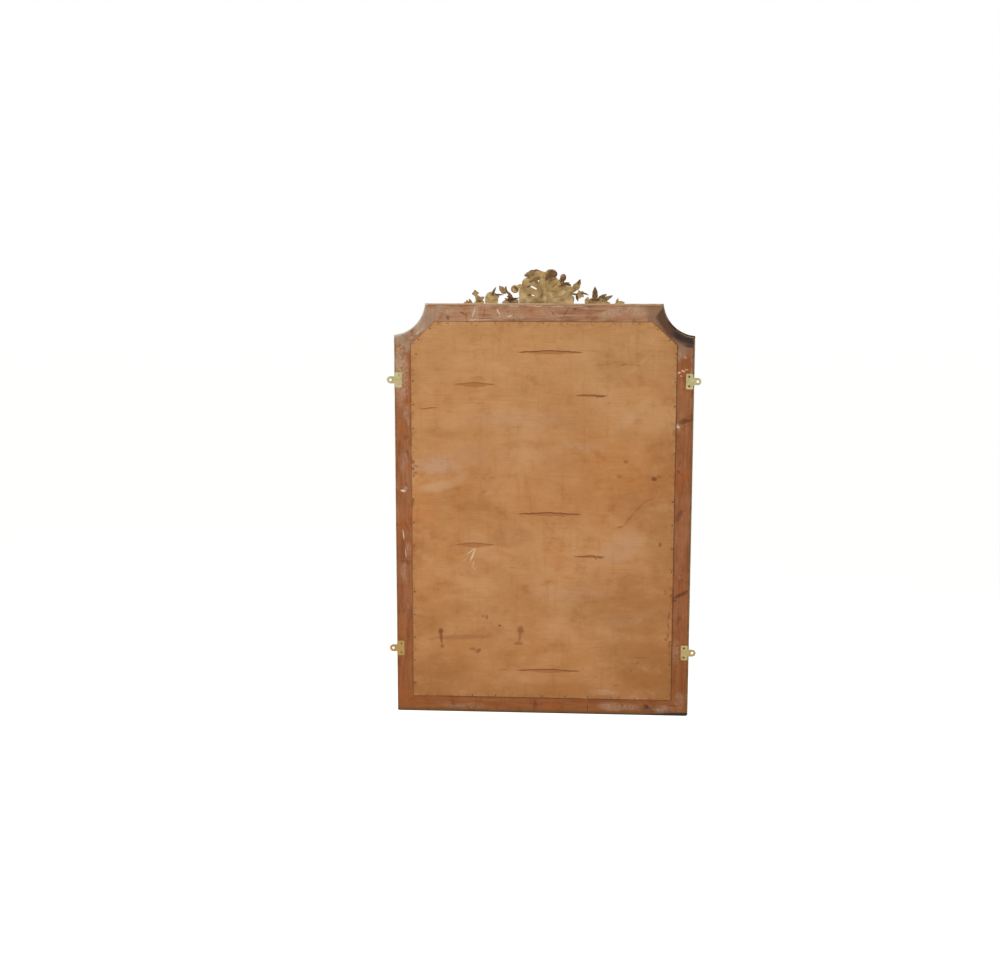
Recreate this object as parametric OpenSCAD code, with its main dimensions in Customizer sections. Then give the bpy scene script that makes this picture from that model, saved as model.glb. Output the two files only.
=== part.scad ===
// Wall mirror with scooped top corners, a tacked back board and a pierced carved crest.
// The glass faces -Y, the wall lies at y = 0, +Z is up and +X is to the right seen from the front.
// The origin is the centre of the four wall-screw holes, in the plane of the wall.

/* [Overall frame] */
// Width over the gilded moulding
frame_w = 1110; // [1000:1:1300]
// Height over the gilded moulding, without the crest
frame_h = 1555; // [1400:1:1800]
// Radius of the scooped top corners, at the outer edge
scoop_r = 128; // [115:1:140]
// How far the centre of a scoop lies outside the square corner, each way
scoop_out = 11; // [5:0.5:16]

/* [Pine frame] */
// Thickness of the pine members
pine_t = 28; // [22:0.5:36]
// How far the moulding stands out past the pine
overhang = 6; // [4:0.5:14]
// Width of the ledge that carries the back board
ledge_w = 15; // [12:0.5:20]
// Length of a corner block, along the top and down the side
corner_block = 175; // [160:1:230]
// Thickness of the loose tongues in the joints
tongue_t = 8; // [6:0.5:10]
// Width of a loose tongue
tongue_w = 34; // [20:1:40]
// Length of a loose tongue, across the joint
tongue_l = 60; // [40:1:80]
// Clearance round a tongue
tongue_fit = 0.2; // [0.1:0.05:0.5]

/* [Back board] */
// Thickness of the back board
board_t = 4; // [3:0.5:6]
// Distance from the outer edge of the moulding to the board
board_margin = 65; // [60:1:80]
// Width that is cut off a top corner of the board
board_cut_w = 92.5; // [80:0.5:105]
// Height that is cut off a top corner of the board
board_cut_h = 83; // [70:0.5:95]
// Clearance between the board and its rebate
board_gap = 0.5; // [0.2:0.1:1]
// Greatest distance between two tacks
tack_pitch = 92; // [60:1:140]
// Distance of the tacks from the edge of the board
tack_in = 7; // [5:0.5:9]
// Diameter of a tack's head
tack_head_d = 5.5; // [4:0.1:8]
// Thickness of a tack's head
tack_head_t = 0.9; // [0.5:0.1:1.4]
// Diameter of a tack's shank
tack_d = 1.6; // [1.2:0.1:2.4]
// Length of a tack's shank
tack_l = 12; // [9:0.5:18]
// Radial clearance of a tack in its hole
tack_fit = 0.05; // [0.02:0.01:0.2]

/* [Front moulding] */
// Width of the moulding's face, without the slip
moulding_w = 88; // [84:0.5:100]
// Height of the step along the outer edge
step_h = 14; // [12:0.5:18]
// Width of the step along the outer edge
step_w = 11; // [9:0.5:13]
// Radius of the small bead on the step
bead_r = 5; // [3:0.25:5.5]
// Radius of the cove between the step and the great torus
cove_r = 14; // [10:0.5:16]
// Radius of the great torus
torus_r = 9.5; // [8:0.25:11]
// Width of the flat beside the torus
fillet_w = 2; // [1:0.5:4]
// Height of the flat along the inner edge
inner_h = 14; // [12:0.5:16]
// Width of the flat along the inner edge
inner_w = 6; // [4:0.5:9]
// Radius of the long hollow between torus and inner edge
hollow_r = 45; // [40:1:70]

/* [Slip] */
// Width of the slip round the glass
slip_w = 8; // [6:0.5:10]
// Height of the slip's base
slip_h = 6; // [4:0.5:7]
// Radius of the bead on the slip
slip_bead_r = 3.5; // [2:0.25:3.9]

/* [Glass] */
// Thickness of the mirror glass
glass_t = 5; // [4:0.5:6]
// Gap between the glass and the pine all round
glass_gap = 2; // [1.5:0.5:4]
// Width of the bevel
bevel_w = 26; // [18:1:32]
// Depth of the bevel at the edge of the glass
bevel_t = 2.5; // [1:0.25:3]
// Clearance round the glass in the moulding
pocket_gap = 0.5; // [0.3:0.1:1]
// Length of a block that holds the glass
block_l = 45; // [30:1:60]
// Width and height of such a block
block_w = 12; // [10:0.5:14]
// Greatest distance between two blocks
block_pitch = 330; // [200:5:450]

/* [Hanger plates] */
// Distance of the upper wall holes below the top edge
hanger_drop = 281; // [220:1:350]
// Distance of the lower wall holes above the bottom edge
hanger_rise = 252; // [180:1:320]
// Width of a plate's body
plate_w = 26; // [24:0.5:32]
// Height of a plate's body
plate_h = 57; // [50:0.5:70]
// Thickness of a plate
plate_t = 2; // [1.5:0.1:3]
// Radius of the rounded corners of a plate
plate_r = 3; // [1:0.5:6]
// Radius of the round end of the tab
tab_r = 13.5; // [11:0.5:15]
// Distance from the pine's edge to the end of the tab
tab_l = 30; // [26:0.5:40]
// Diameter of the hole for the wall screw
wall_hole_d = 9.5; // [5:0.5:12]
// Distance between the two screws in a plate
screw_pitch = 35; // [30:0.5:38]
// Distance of the screws from the inner edge of a plate
screw_in = 11.5; // [9:0.5:14]
// Diameter of a screw's shank
screw_d = 4; // [3:0.1:4.5]
// Diameter of a screw's countersunk head
screw_head_d = 8; // [6:0.1:9]
// Length of a screw
screw_l = 22; // [14:0.5:24]
// Radial clearance of a screw
screw_fit = 0.1; // [0.05:0.01:0.3]

/* [Crest] */
// Thickness of the cartouche board
cartouche_t = 12; // [10:0.5:16]
// Thickness of the strips that carry the sprays
spray_rail_t = 10; // [8:0.5:12]
// Height of the strips that carry the sprays
spray_rail_h = 15; // [12:0.5:18]
// Distance of the strips below the top edge
spray_rail_drop = 1; // [0.5:0.5:3]
// Length from the middle of the crest to the end of a strip
spray_reach = 298; // [290:1:330]
// Place of the glued seam between the two halves of the cartouche
seam_x = 1.5; // [-6:0.5:8]
// Clearance of the cartouche in its housing
housing_gap = 0.5; // [0.3:0.1:1]
// Diameter of the crest's dowels
dowel_d = 8; // [6:0.5:10]
// Length of a crest dowel
dowel_l = 16; // [12:0.5:18]
// Radial clearance of a dowel
dowel_fit = 0.05; // [0.02:0.01:0.2]
// Height of the domed leaves
leaf_t = 9; // [5:0.5:13]
// Thickness of the wire stems
stem_d = 4.5; // [3:0.25:6]

/* [Hidden] */
$fn = 96;
eps = 0.01;

pine = "sienna";
pale_wood = "burlywood";
gilt = "goldenrod";
ochre = "darkkhaki";
brass = "khaki";
iron = "dimgray";

// Half widths, and distances inside the outer edge of the moulding
pine_x = frame_w / 2 - overhang;
board_x = frame_w / 2 - board_margin;
opening_in = board_margin + ledge_w;
glass_in = opening_in + glass_gap;
sight_in = moulding_w + slip_w;
wall_hole_x = pine_x + tab_l - tab_r;

// Depths, counted from the wall plane towards the front
pine_back = plate_t;
pine_front = pine_back + pine_t;
board_front = pine_back + board_t;
glass_seat = glass_t - bevel_t * (1 - (sight_in - glass_in) / bevel_w) + 0.05;
crest_back = pine_front + step_h;
rail_front = crest_back + spray_rail_t;
cartouche_front = crest_back + cartouche_t;
depth_all = 80;

// Heights, counted from the bottom edge of the frame
upper_hole_z = frame_h - hanger_drop;
lower_hole_z = hanger_rise;
origin_z = (upper_hole_z + lower_hole_z) / 2;

// Centre of the right-hand scoop
scoop_x = frame_w / 2 + scoop_out;
scoop_z = frame_h + scoop_out;

// Puts a flat drawing of the front view, in x and height, at a depth from the wall
module at_depth(d, t) {
    translate([0, -d, -origin_z])
        rotate([90, 0, 0])
            linear_extrude(t)
                children();
}

// The same thing on the other side
module other_side() {
    mirror([1, 0, 0])
        children();
}

// Mitres of the mouldings: curved ones beside the scoops, straight ones at the bottom
function mitre_reach(u) = sqrt(scoop_r * scoop_r - scoop_out * scoop_out + 2 * u * (scoop_r - scoop_out));
function mitre_top(u) = [scoop_x - mitre_reach(u), frame_h - u];
function mitre_side(u) = [frame_w / 2 - u, scoop_z - mitre_reach(u)];
mitre_far = sight_in + 6;
mitre_steps = [for (i = [0:12]) -6 + (mitre_far + 6) * i / 12];
function reversed(v) = [for (i = [len(v) - 1:-1:0]) v[i]];
function flipped(v) = [for (p = v) [-p.x, p.y]];

module corner_zone() {
    polygon(concat(
        [for (u = mitre_steps) mitre_top(u)],
        reversed([for (u = mitre_steps) mitre_side(u)])
    ));
}

module top_zone() {
    right = [for (u = mitre_steps) mitre_top(u)];
    polygon(concat(right, reversed(flipped(right))));
}

module side_zone() {
    polygon(concat(
        [for (u = mitre_steps) mitre_side(u)],
        [[frame_w / 2 - mitre_far, mitre_far], [frame_w / 2 + 6, -6]]
    ));
}

module bottom_zone() {
    polygon([
        [-frame_w / 2 - 6, -6], [frame_w / 2 + 6, -6],
        [frame_w / 2 - mitre_far, mitre_far], [mitre_far - frame_w / 2, mitre_far]
    ]);
}

// A sheet inside the frame's edge by the same distance all round, with both top corners scooped
module scooped(u) {
    difference() {
        translate([u - frame_w / 2, u])
            square([frame_w - 2 * u, frame_h - 2 * u]);
        for (s = [-1, 1])
            translate([s * scoop_x, scoop_z])
                circle(scoop_r + u);
    }
}

// Outline of the back board, grown by a distance g, with its two top corners cut off straight
board_slant = sqrt(board_cut_w * board_cut_w + board_cut_h * board_cut_h);
function board_points(g) = let(
    x = board_x + g,
    low = board_margin - g,
    high = frame_h - board_margin + g,
    shoulder = frame_h - board_margin - board_cut_h + g * (board_slant - board_cut_h) / board_cut_w,
    neck = board_x - board_cut_w + g * (board_slant - board_cut_w) / board_cut_h
) [[-x, low], [x, low], [x, shoulder], [neck, high], [-neck, high], [-x, shoulder]];

// Tacks stand in equal steps along each side of the board
tack_line = board_points(-tack_in);
tack_points = [
    for (i = [0:5])
        let(a = tack_line[i], b = tack_line[(i + 1) % 6], n = ceil(norm(b - a) / tack_pitch))
            for (k = [0:n - 1]) a + (b - a) * (k + 0.5) / n
];

module tacks(places, clear) {
    for (p = places)
        translate([p.x, -pine_back + eps, p.y - origin_z])
            rotate([90, 0, 0])
                cylinder(r = tack_d / 2 + clear, h = tack_l + (clear > 0 ? 0.3 : 0));
}

// Which pine member a tack goes into
block_x = frame_w / 2 - corner_block;
block_z = frame_h - corner_block;
function in_block(p) = abs(p.x) > block_x && p.y > block_z;
function in_side(p) = abs(p.x) > block_x && p.y <= block_z && p.y > frame_w / 2 - abs(p.x);
function in_bottom(p) = p.y < block_z && p.y <= frame_w / 2 - abs(p.x);
function in_top(p) = abs(p.x) <= block_x && p.y > block_z;
block_tacks = [for (p = tack_points) if (in_block(p) && p.x > 0) p];
side_tacks = [for (p = tack_points) if (in_side(p) && p.x > 0) p];
bottom_tacks = [for (p = tack_points) if (in_bottom(p)) p];
top_tacks = [for (p = tack_points) if (in_top(p)) p];

// Loose tongues on the right-hand side: x, height and angle of the tongue's length
strip_mid = (overhang + opening_in) / 2;
tongue_depth = (board_front + pine_front - tongue_t) / 2;
tongue_places = [
    [frame_w / 2 - strip_mid, block_z, 90],
    [block_x, frame_h - strip_mid, 0],
    [frame_w / 2 - strip_mid, strip_mid, 45]
];

module tongues(clear) {
    for (p = tongue_places)
        at_depth(tongue_depth - clear, tongue_t + 2 * clear)
            translate([p[0], p[1]])
                rotate(p[2])
                    square([tongue_l + 2 * clear, tongue_w + 2 * clear], center = true);
}

// Screws of the right-hand hanger plates
screw_x = pine_x - plate_w + screw_in;
screw_spots = [
    for (z = [upper_hole_z, lower_hole_z])
        for (k = [-0.5, 0.5])
            [screw_x, z + k * screw_pitch]
];

module screw_shape(clear) {
    head = (screw_head_d - screw_d) / 2;
    cylinder(r = screw_d / 2 + clear, h = screw_l + clear);
    cylinder(r1 = screw_head_d / 2 + clear, r2 = screw_d / 2 + clear, h = head);
}

module screws(clear) {
    for (p = screw_spots)
        translate([p.x, 0, p.y - origin_z])
            rotate([90, 0, 0])
                screw_shape(clear);
}

// One pine member, cut from the whole frame by the zone given as a child
module pine_member(places) {
    difference() {
        at_depth(pine_back, pine_t)
            intersection() {
                difference() {
                    scooped(overhang);
                    polygon(board_points(-ledge_w));
                }
                children();
            }
        at_depth(pine_back - 1, board_t + 1)
            polygon(board_points(board_gap));
        tacks(places, tack_fit);
        tongues(tongue_fit);
        other_side()
            tongues(tongue_fit);
    }
}

module stile() {
    difference() {
        pine_member(side_tacks)
            polygon([
                [frame_w / 2, 0], [frame_w / 2, block_z], [block_x, block_z],
                [block_x, opening_in], [frame_w / 2 - opening_in - 1, opening_in + 1]
            ]);
        screws(screw_fit);
    }
}

module corner_block() {
    pine_member(block_tacks)
        translate([block_x, block_z])
            square(corner_block);
}

module stile_left() {
    color(pine)
        other_side()
            stile();
}

module stile_right() {
    color(pine)
        stile();
}

module top_rail() {
    color(pine)
        pine_member(top_tacks)
            translate([-block_x, block_z])
                square([2 * block_x, corner_block]);
}

module bottom_rail() {
    far = opening_in + 1;
    color(pine)
        pine_member(bottom_tacks)
            polygon([
                [-frame_w / 2, 0], [frame_w / 2, 0],
                [frame_w / 2 - far, far], [far - frame_w / 2, far]
            ]);
}

module corner_block_left() {
    color(pine)
        other_side()
            corner_block();
}

module corner_block_right() {
    color(pine)
        corner_block();
}

module frame_tongues() {
    color(pale_wood) {
        tongues(0);
        other_side()
            tongues(0);
    }
}

module back_board() {
    color("peru")
        difference() {
            at_depth(pine_back, board_t)
                polygon(board_points(0));
            translate([0, 0.5, 0])
                tacks(tack_points, tack_fit);
        }
}

module board_tacks() {
    color(iron)
        for (p = tack_points)
            translate([p.x, -pine_back, p.y - origin_z])
                rotate([90, 0, 0]) {
                    cylinder(r = tack_d / 2, h = tack_l);
                    translate([0, 0, -tack_head_t])
                        cylinder(r = tack_head_d / 2, h = tack_head_t);
                }
}

// Section of the front moulding: u runs in from the outer edge, the height stands on the pine
cove_top = step_h + 1.5 + cove_r;
torus_u = step_w + cove_r + fillet_w + torus_r;
torus_h = cove_top - 2.5;
flat_h = torus_h - 1;
hollow_a = [torus_u + torus_r + fillet_w, flat_h];
hollow_b = [moulding_w - inner_w, inner_h];
hollow_half = norm(hollow_b - hollow_a) / 2;
hollow_along = (hollow_b - hollow_a) / (2 * hollow_half);
hollow_centre = (hollow_a + hollow_b) / 2
    + [-hollow_along.y, hollow_along.x] * sqrt(hollow_r * hollow_r - hollow_half * hollow_half);

module moulding_section() {
    difference() {
        polygon([
            [0, 0], [moulding_w, 0], [moulding_w, inner_h], hollow_b, hollow_a, [torus_u, flat_h],
            [torus_u, cove_top], [step_w, cove_top], [step_w, step_h], [0, step_h]
        ]);
        translate([step_w, cove_top])
            circle(cove_r);
        translate(hollow_centre)
            circle(hollow_r);
    }
    translate([torus_u, torus_h])
        circle(torus_r);
    translate([step_w / 2, step_h - 1])
        circle(bead_r);
}

module slip_section() {
    translate([moulding_w, glass_seat])
        square([slip_w, slip_h]);
    translate([moulding_w + slip_w / 2, glass_seat + slip_h - 0.5])
        circle(slip_bead_r);
}

// Runs of a section along the sides, the top, the bottom and round a scoop
module side_run() {
    intersection() {
        translate([frame_w / 2, -pine_front, -origin_z - 5])
            rotate([0, 0, 180])
                linear_extrude(frame_h + 10)
                    children();
        at_depth(pine_front - 1, depth_all)
            side_zone();
    }
}

module level_run() {
    translate([frame_w / 2 + 5, -pine_front, 0])
        rotate([0, -90, 0])
            rotate([0, 0, 180])
                linear_extrude(frame_w + 10)
                    children();
}

module top_run() {
    intersection() {
        translate([0, 0, frame_h - origin_z])
            level_run()
                children();
        at_depth(pine_front - 1, depth_all)
            top_zone();
    }
}

module bottom_run() {
    intersection() {
        translate([0, 0, -origin_z])
            mirror([0, 0, 1])
                level_run()
                    children();
        at_depth(pine_front - 1, depth_all)
            bottom_zone();
    }
}

module corner_run() {
    intersection() {
        translate([scoop_x, -pine_front, scoop_z - origin_z])
            rotate([90, 0, 0])
                rotate_extrude(angle = 92, start = 179)
                    translate([scoop_r, 0])
                        children();
        at_depth(pine_front - 1, depth_all)
            corner_zone();
    }
}

// Room for the glass behind the mouldings
module glass_pocket() {
    at_depth(pine_front - 1, glass_seat + 1)
        scooped(glass_in - pocket_gap);
}

module moulding_side() {
    difference() {
        side_run()
            moulding_section();
        glass_pocket();
    }
}

module moulding_corner() {
    difference() {
        corner_run()
            moulding_section();
        glass_pocket();
    }
}

module moulding_left() {
    color(gilt)
        other_side()
            moulding_side();
}

module moulding_right() {
    color(gilt)
        moulding_side();
}

module moulding_bottom() {
    color(gilt)
        difference() {
            bottom_run()
                moulding_section();
            glass_pocket();
        }
}

module moulding_top() {
    color(gilt)
        difference() {
            top_run()
                moulding_section();
            glass_pocket();
            crest_housing();
            dowels(dowel_fit);
        }
}

module moulding_corner_left() {
    color(gilt)
        other_side()
            moulding_corner();
}

module moulding_corner_right() {
    color(gilt)
        moulding_corner();
}

module slip_left() {
    color(gilt)
        other_side()
            side_run()
                slip_section();
}

module slip_right() {
    color(gilt)
        side_run()
            slip_section();
}

module slip_top() {
    color(gilt)
        top_run()
            slip_section();
}

module slip_bottom() {
    color(gilt)
        bottom_run()
            slip_section();
}

module slip_corner_left() {
    color(gilt)
        other_side()
            corner_run()
                slip_section();
}

module slip_corner_right() {
    color(gilt)
        corner_run()
            slip_section();
}

// Section of what the bevel takes off the edge of the glass, outwards from the inner line of the bevel
module bevel_section(over) {
    fall = bevel_t / bevel_w;
    polygon([[0, 0], [bevel_w + over, -fall * (bevel_w + over)], [bevel_w + over, 3], [0, 3]]);
}

module mirror_glass() {
    front = pine_front + glass_t;
    color("lightsteelblue")
        difference() {
            at_depth(pine_front, glass_t)
                scooped(glass_in);
            for (s = [0, 1])
                mirror([s, 0, 0]) {
                    translate([frame_w / 2 - glass_in - bevel_w, -front, -origin_z])
                        mirror([0, 1, 0])
                            linear_extrude(frame_h)
                                bevel_section(5);
                    translate([scoop_x, -front, scoop_z - origin_z])
                        rotate([90, 0, 0])
                            rotate_extrude()
                                translate([scoop_r + glass_in + bevel_w, 0])
                                    mirror([1, 0])
                                        bevel_section(5);
                }
            for (top = [0, 1])
                translate([0, 0, top * (frame_h - glass_in - bevel_w) + (1 - top) * (glass_in + bevel_w) - origin_z])
                    mirror([0, 0, 1 - top])
                        translate([frame_w / 2, -front, 0])
                            rotate([0, -90, 0])
                                mirror([0, 1, 0])
                                    linear_extrude(frame_w)
                                        bevel_section(5);
        }
}

// Blocks are glued to the inner edge of the pine and hold the glass from behind
module block() {
    rotate([90, 0, 90])
        linear_extrude(block_l, center = true)
            polygon([[0, 0], [block_w, 0], [0, -block_w]]);
}

module block_row(length) {
    n = ceil(length / block_pitch);
    for (k = [0:n - 1])
        translate([(k + 0.5) * length / n - length / 2, 0, 0])
            block();
}

module glass_blocks() {
    side_l = frame_h - board_cut_h - 2 * opening_in;
    color(pale_wood) {
        for (s = [0, 1])
            mirror([s, 0, 0])
                translate([frame_w / 2 - opening_in, -pine_front, opening_in + side_l / 2 - origin_z])
                    rotate([0, 90, 0])
                        block_row(side_l);
        translate([0, -pine_front, frame_h - opening_in - origin_z])
            block_row(2 * (board_x - board_cut_w) - block_w);
        translate([0, -pine_front, opening_in - origin_z])
            mirror([0, 0, 1])
                block_row(2 * board_x);
    }
}

// Hanger plate of the right-hand side, about its wall hole
module plate_outline() {
    inner = -(wall_hole_x - pine_x + plate_w);
    translate([inner + plate_r, -plate_h / 2])
        square([plate_w - 2 * plate_r, plate_h]);
    translate([inner, plate_r - plate_h / 2])
        square([plate_w, plate_h - 2 * plate_r]);
    for (x = [inner + plate_r, inner + plate_w - plate_r])
        for (z = [-1, 1])
            translate([x, z * (plate_h / 2 - plate_r)])
                circle(plate_r);
    translate([inner + plate_w / 2, -tab_r])
        square([-inner - plate_w / 2, 2 * tab_r]);
    circle(tab_r);
}

module hanger_plate(z) {
    color(brass)
        difference() {
            at_depth(0, plate_t)
                translate([wall_hole_x, z])
                    plate_outline();
            translate([wall_hole_x, 1, z - origin_z])
                rotate([90, 0, 0])
                    cylinder(d = wall_hole_d, h = plate_t + 2);
            screws(screw_fit);
        }
}

module hanger_plate_upper_left() {
    other_side()
        hanger_plate(upper_hole_z);
}

module hanger_plate_upper_right() {
    hanger_plate(upper_hole_z);
}

module hanger_plate_lower_left() {
    other_side()
        hanger_plate(lower_hole_z);
}

module hanger_plate_lower_right() {
    hanger_plate(lower_hole_z);
}

module hanger_screws() {
    color(brass)
        for (s = [0, 1])
            mirror([s, 0, 0])
                difference() {
                    screws(0);
                    for (p = screw_spots)
                        translate([p.x, 0, p.y - origin_z])
                            rotate([0, 35 + p.y / 3, 0])
                                cube([screw_head_d + 1, 1.6, 1], center = true);
                }
}

// Crest. Its points are x and height above the top edge of the frame
cartouche_right = 92;
cartouche_left = -110;
cartouche_low = [
    [cartouche_left, -28], [-102, -40], [-86, -50], [-62, -58], [-32, -64], [-4, -66],
    [26, -63], [54, -56], [78, -46], [cartouche_right, -30]
];
cartouche_high = [
    [cartouche_right, 22], [94, 40], [91, 58], [82, 69], [82, 81], [75, 90], [63, 97], [55, 105],
    [43, 108], [36, 115], [25, 119], [10, 117], [-8, 116], [-22, 113], [-36, 104], [-50, 91],
    [-58, 82], [-63, 69], [-80, 69], [-97, 65], [-107, 60], [-115, 49], [-106, 38], [-103, 31],
    [-112, 24], [-113, 14], [cartouche_left, 6]
];
cartouche_points = concat(cartouche_low, cartouche_high);

// Moves each point of an outline away from the middle of the cartouche
function grown(points, g) = let(c = [-9, 10]) [for (p = points) p + g * (p - c) / norm(p - c)];

module on_top() {
    translate([0, frame_h])
        children();
}

// A slot of width w with round ends about the points a and b
module slot(a, b, w) {
    across = atan2(b.y - a.y, b.x - a.x) + 90;
    polygon([
        for (end = [[a, across], [b, across + 180]])
            for (turn = [0:15:180])
                end[0] + w / 2 * [cos(end[1] + turn), sin(end[1] + turn)]
    ]);
}

module cartouche_half(side) {
    difference() {
        at_depth(crest_back, cartouche_t)
            on_top()
                difference() {
                    polygon(cartouche_points);
                    translate([side > 0 ? seam_x - 300 : seam_x, -200])
                        square([300, 400]);
                    slot([47, 62], [29, 53], 5.5);
                    slot([45, 31], [35, 28], 4);
                    translate([20, 82])
                        circle(3);
                }
        dowels(dowel_fit);
    }
}

module crest_cartouche_left() {
    color(ochre)
        cartouche_half(-1);
}

module crest_cartouche_right() {
    color(ochre)
        cartouche_half(1);
}

// Flat seat that is cut into the face of the top moulding for the cartouche and the strips
module crest_housing() {
    at_depth(crest_back, depth_all)
        on_top() {
            polygon(grown(cartouche_points, housing_gap));
            translate([-spray_reach - housing_gap, -spray_rail_drop - spray_rail_h - housing_gap])
                square([2 * (spray_reach + housing_gap), 40]);
        }
}

module spray_rail(from, to) {
    difference() {
        at_depth(crest_back, spray_rail_t)
            on_top()
                translate([from, -spray_rail_drop - spray_rail_h])
                    square([to - from, spray_rail_h]);
        dowels(dowel_fit);
    }
}

module crest_rail_left() {
    color(ochre)
        spray_rail(-spray_reach, cartouche_left);
}

module crest_rail_right() {
    color(ochre)
        spray_rail(cartouche_right, spray_reach);
}

dowel_z = -spray_rail_drop - spray_rail_h / 2;
dowel_spots = [[-64, -36], [56, -36], [-230, dowel_z], [-150, dowel_z], [140, dowel_z], [230, dowel_z]];

module dowels(clear) {
    for (p = dowel_spots)
        translate([p.x, clear + dowel_l / 2 - crest_back, p.y + frame_h - origin_z])
            rotate([90, 0, 0])
                cylinder(r = dowel_d / 2 + clear, h = dowel_l + 2 * clear);
}

module crest_dowels() {
    color(pale_wood)
        dowels(0);
}

// A domed leaf with a flat back: its middle line starts at a point and turns steadily
module leaf(at, dir, length, w, bend = 0, t = leaf_t, depth = rail_front, curl = 0, stalk = 0.2) {
    m = 8;
    n = 6;
    turn = abs(bend) < 1 ? 1 : bend;
    r = length / (turn * PI / 180);
    places = [
        for (i = [0:m])
            let(
                s = i / m,
                a = dir + turn * s,
                c = at + r * [sin(a) - sin(dir), cos(dir) - cos(a)],
                swell = sin(180 * pow(0.02 + 0.96 * s, 0.8)),
                half = w / 2 * max(swell, stalk * (1 - s), 0.08),
                high = t * max(0.3 + 0.7 * swell, 0.2) * (1 - 0.5 * s)
            )
                for (j = [0:n])
                    let(b = 180 * j / n, q = c + half * cos(b) * [-sin(a), cos(a)])
                        [q.x, -(depth + curl * s * s + high * sin(b)), q.y + frame_h - origin_z]
    ];
    ring = n + 1;
    polyhedron(places, concat(
        [[for (j = [0:n]) j]],
        [[for (j = [n:-1:0]) m * ring + j]],
        [
            for (i = [0:m - 1])
                for (j = [0:n])
                    let(k = (j + 1) % ring)
                        each [
                            [i * ring + j, (i + 1) * ring + j, (i + 1) * ring + k],
                            [i * ring + j, (i + 1) * ring + k, i * ring + k]
                        ]
        ]
    ));
}

// A carved boss with a flat back: one rule gives its outline, another its height over the seat
module boss(at, reach, rise, depth, n = 40, m = 4) {
    places = concat(
        [
            for (i = [1:m])
                for (k = [0:n - 1])
                    let(a = 360 * k / n, s = i / m, q = at + s * reach(a) * [cos(a), sin(a)])
                        [q.x, -(depth + rise(a, s)), q.y + frame_h - origin_z]
        ],
        [
            for (k = [0:n - 1])
                let(a = 360 * k / n, q = at + reach(a) * [cos(a), sin(a)])
                    [q.x, -depth, q.y + frame_h - origin_z]
        ],
        [
            [at.x, -(depth + rise(0, 0)), at.y + frame_h - origin_z],
            [at.x, -depth, at.y + frame_h - origin_z]
        ]
    );
    top = (m + 1) * n;
    polyhedron(places, [
        for (k = [0:n - 1])
            let(j = (k + 1) % n)
                each concat(
                    [[top, j, k], [top + 1, m * n + k, m * n + j]],
                    [
                        for (i = [0:m - 1])
                            each [
                                [i * n + k, i * n + j, (i + 1) * n + j],
                                [i * n + k, (i + 1) * n + j, (i + 1) * n + k]
                            ]
                    ]
                )
    ]);
}

// A rose of five petals round a raised heart
module rose(at, size, depth) {
    boss(
        at,
        function(a) size * (0.84 + 0.16 * abs(cos(2.5 * a))),
        function(a, s) 2 + leaf_t * (1 - 0.75 * s * s) * (s < 0.3 ? 1.15 : 0.75 + 0.25 * abs(cos(2.5 * a + 36))),
        depth
    );
}

// Scallop shell on the front of the cartouche
module crest_shell() {
    color(gilt)
        boss(
            [-8, 4],
            function(a) a < 180 ? 37 + 7 * sin(a) + 2.5 * abs(sin(5 * a)) : 37 + 7 * sin(a),
            function(a, s) 2 + (leaf_t + 3) * (1 - s * s) + (a < 180 ? 2.5 * s * abs(sin(5 * a)) : 0),
            cartouche_front,
            72
        );
}

module crest_pendant_leaf() {
    color(gilt) {
        leaf([-6, -42], -90, 34, 30, 0, leaf_t, cartouche_front);
        leaf([4, -38], -40, 34, 18, -30, leaf_t - 2, cartouche_front);
        leaf([-16, -38], -140, 34, 18, 30, leaf_t - 2, cartouche_front);
    }
}

module crest_crown_leaf() {
    color(gilt) {
        boss(
            [-25, 103],
            function(a) 20 + 2.5 * cos(2 * a - 110),
            function(a, s) 2 + (leaf_t + 2) * (1 - 0.8 * s * s) * (s < 0.6 ? 0.6 + 0.5 * s : 1),
            cartouche_front,
            36
        );
        leaf([-14, 62], 96, 34, 24, 20, leaf_t, cartouche_front);
        leaf([-27, 119], 168, 26, 13, 42, leaf_t, cartouche_front, 0, 0.6);
    }
}

module crest_brow_leaf() {
    color(gilt) {
        leaf([2, 108], 16, 74, 24, -42, leaf_t + 1, cartouche_front, 2);
        leaf([6, 94], 8, 52, 14, -20, leaf_t - 2, cartouche_front);
    }
}

module crest_side_leaf() {
    color(gilt) {
        leaf([-61, 66], 100, 44, 22, 12, leaf_t, cartouche_front, 2, 0.5);
        boss(
            [-70, 94],
            function(a) 11 + 2.5 * pow(sin(a - 8), 2),
            function(a, s) 2 + (leaf_t - 2) * (1 - 0.8 * s * s),
            cartouche_front,
            32
        );
    }
}

module crest_horn_leaf() {
    color(gilt) {
        leaf([-97, 45], 155, 58, 27, -50, leaf_t + 1, cartouche_front, 3, 0.5);
        leaf([-100, 65], 20, 26, 10, -16, leaf_t - 3, cartouche_front);
    }
}

module crest_ball_scroll() {
    color(gilt) {
        boss(
            [108, 52],
            function(a) 15,
            function(a, s) 2 + (leaf_t + 2) * sqrt(1 - 0.96 * s * s),
            cartouche_front,
            32
        );
        leaf([78, 64], -4, 26, 15, -14, leaf_t - 2, cartouche_front, 0, 0.6);
    }
}

module crest_stems_right() {
    color(gilt) {
        leaf([93.5, 3], 0, 62, 32, 0, leaf_t, rail_front, 0, 0.6);
        leaf([142, 62], -95, 66, stem_d, -70, stem_d, rail_front, 0, 1);
        leaf([140, 36], 42, 38, 22, 10, leaf_t - 2);
        leaf([116, 10], 66, 40, 12, -12, leaf_t - 3);
    }
}

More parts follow.
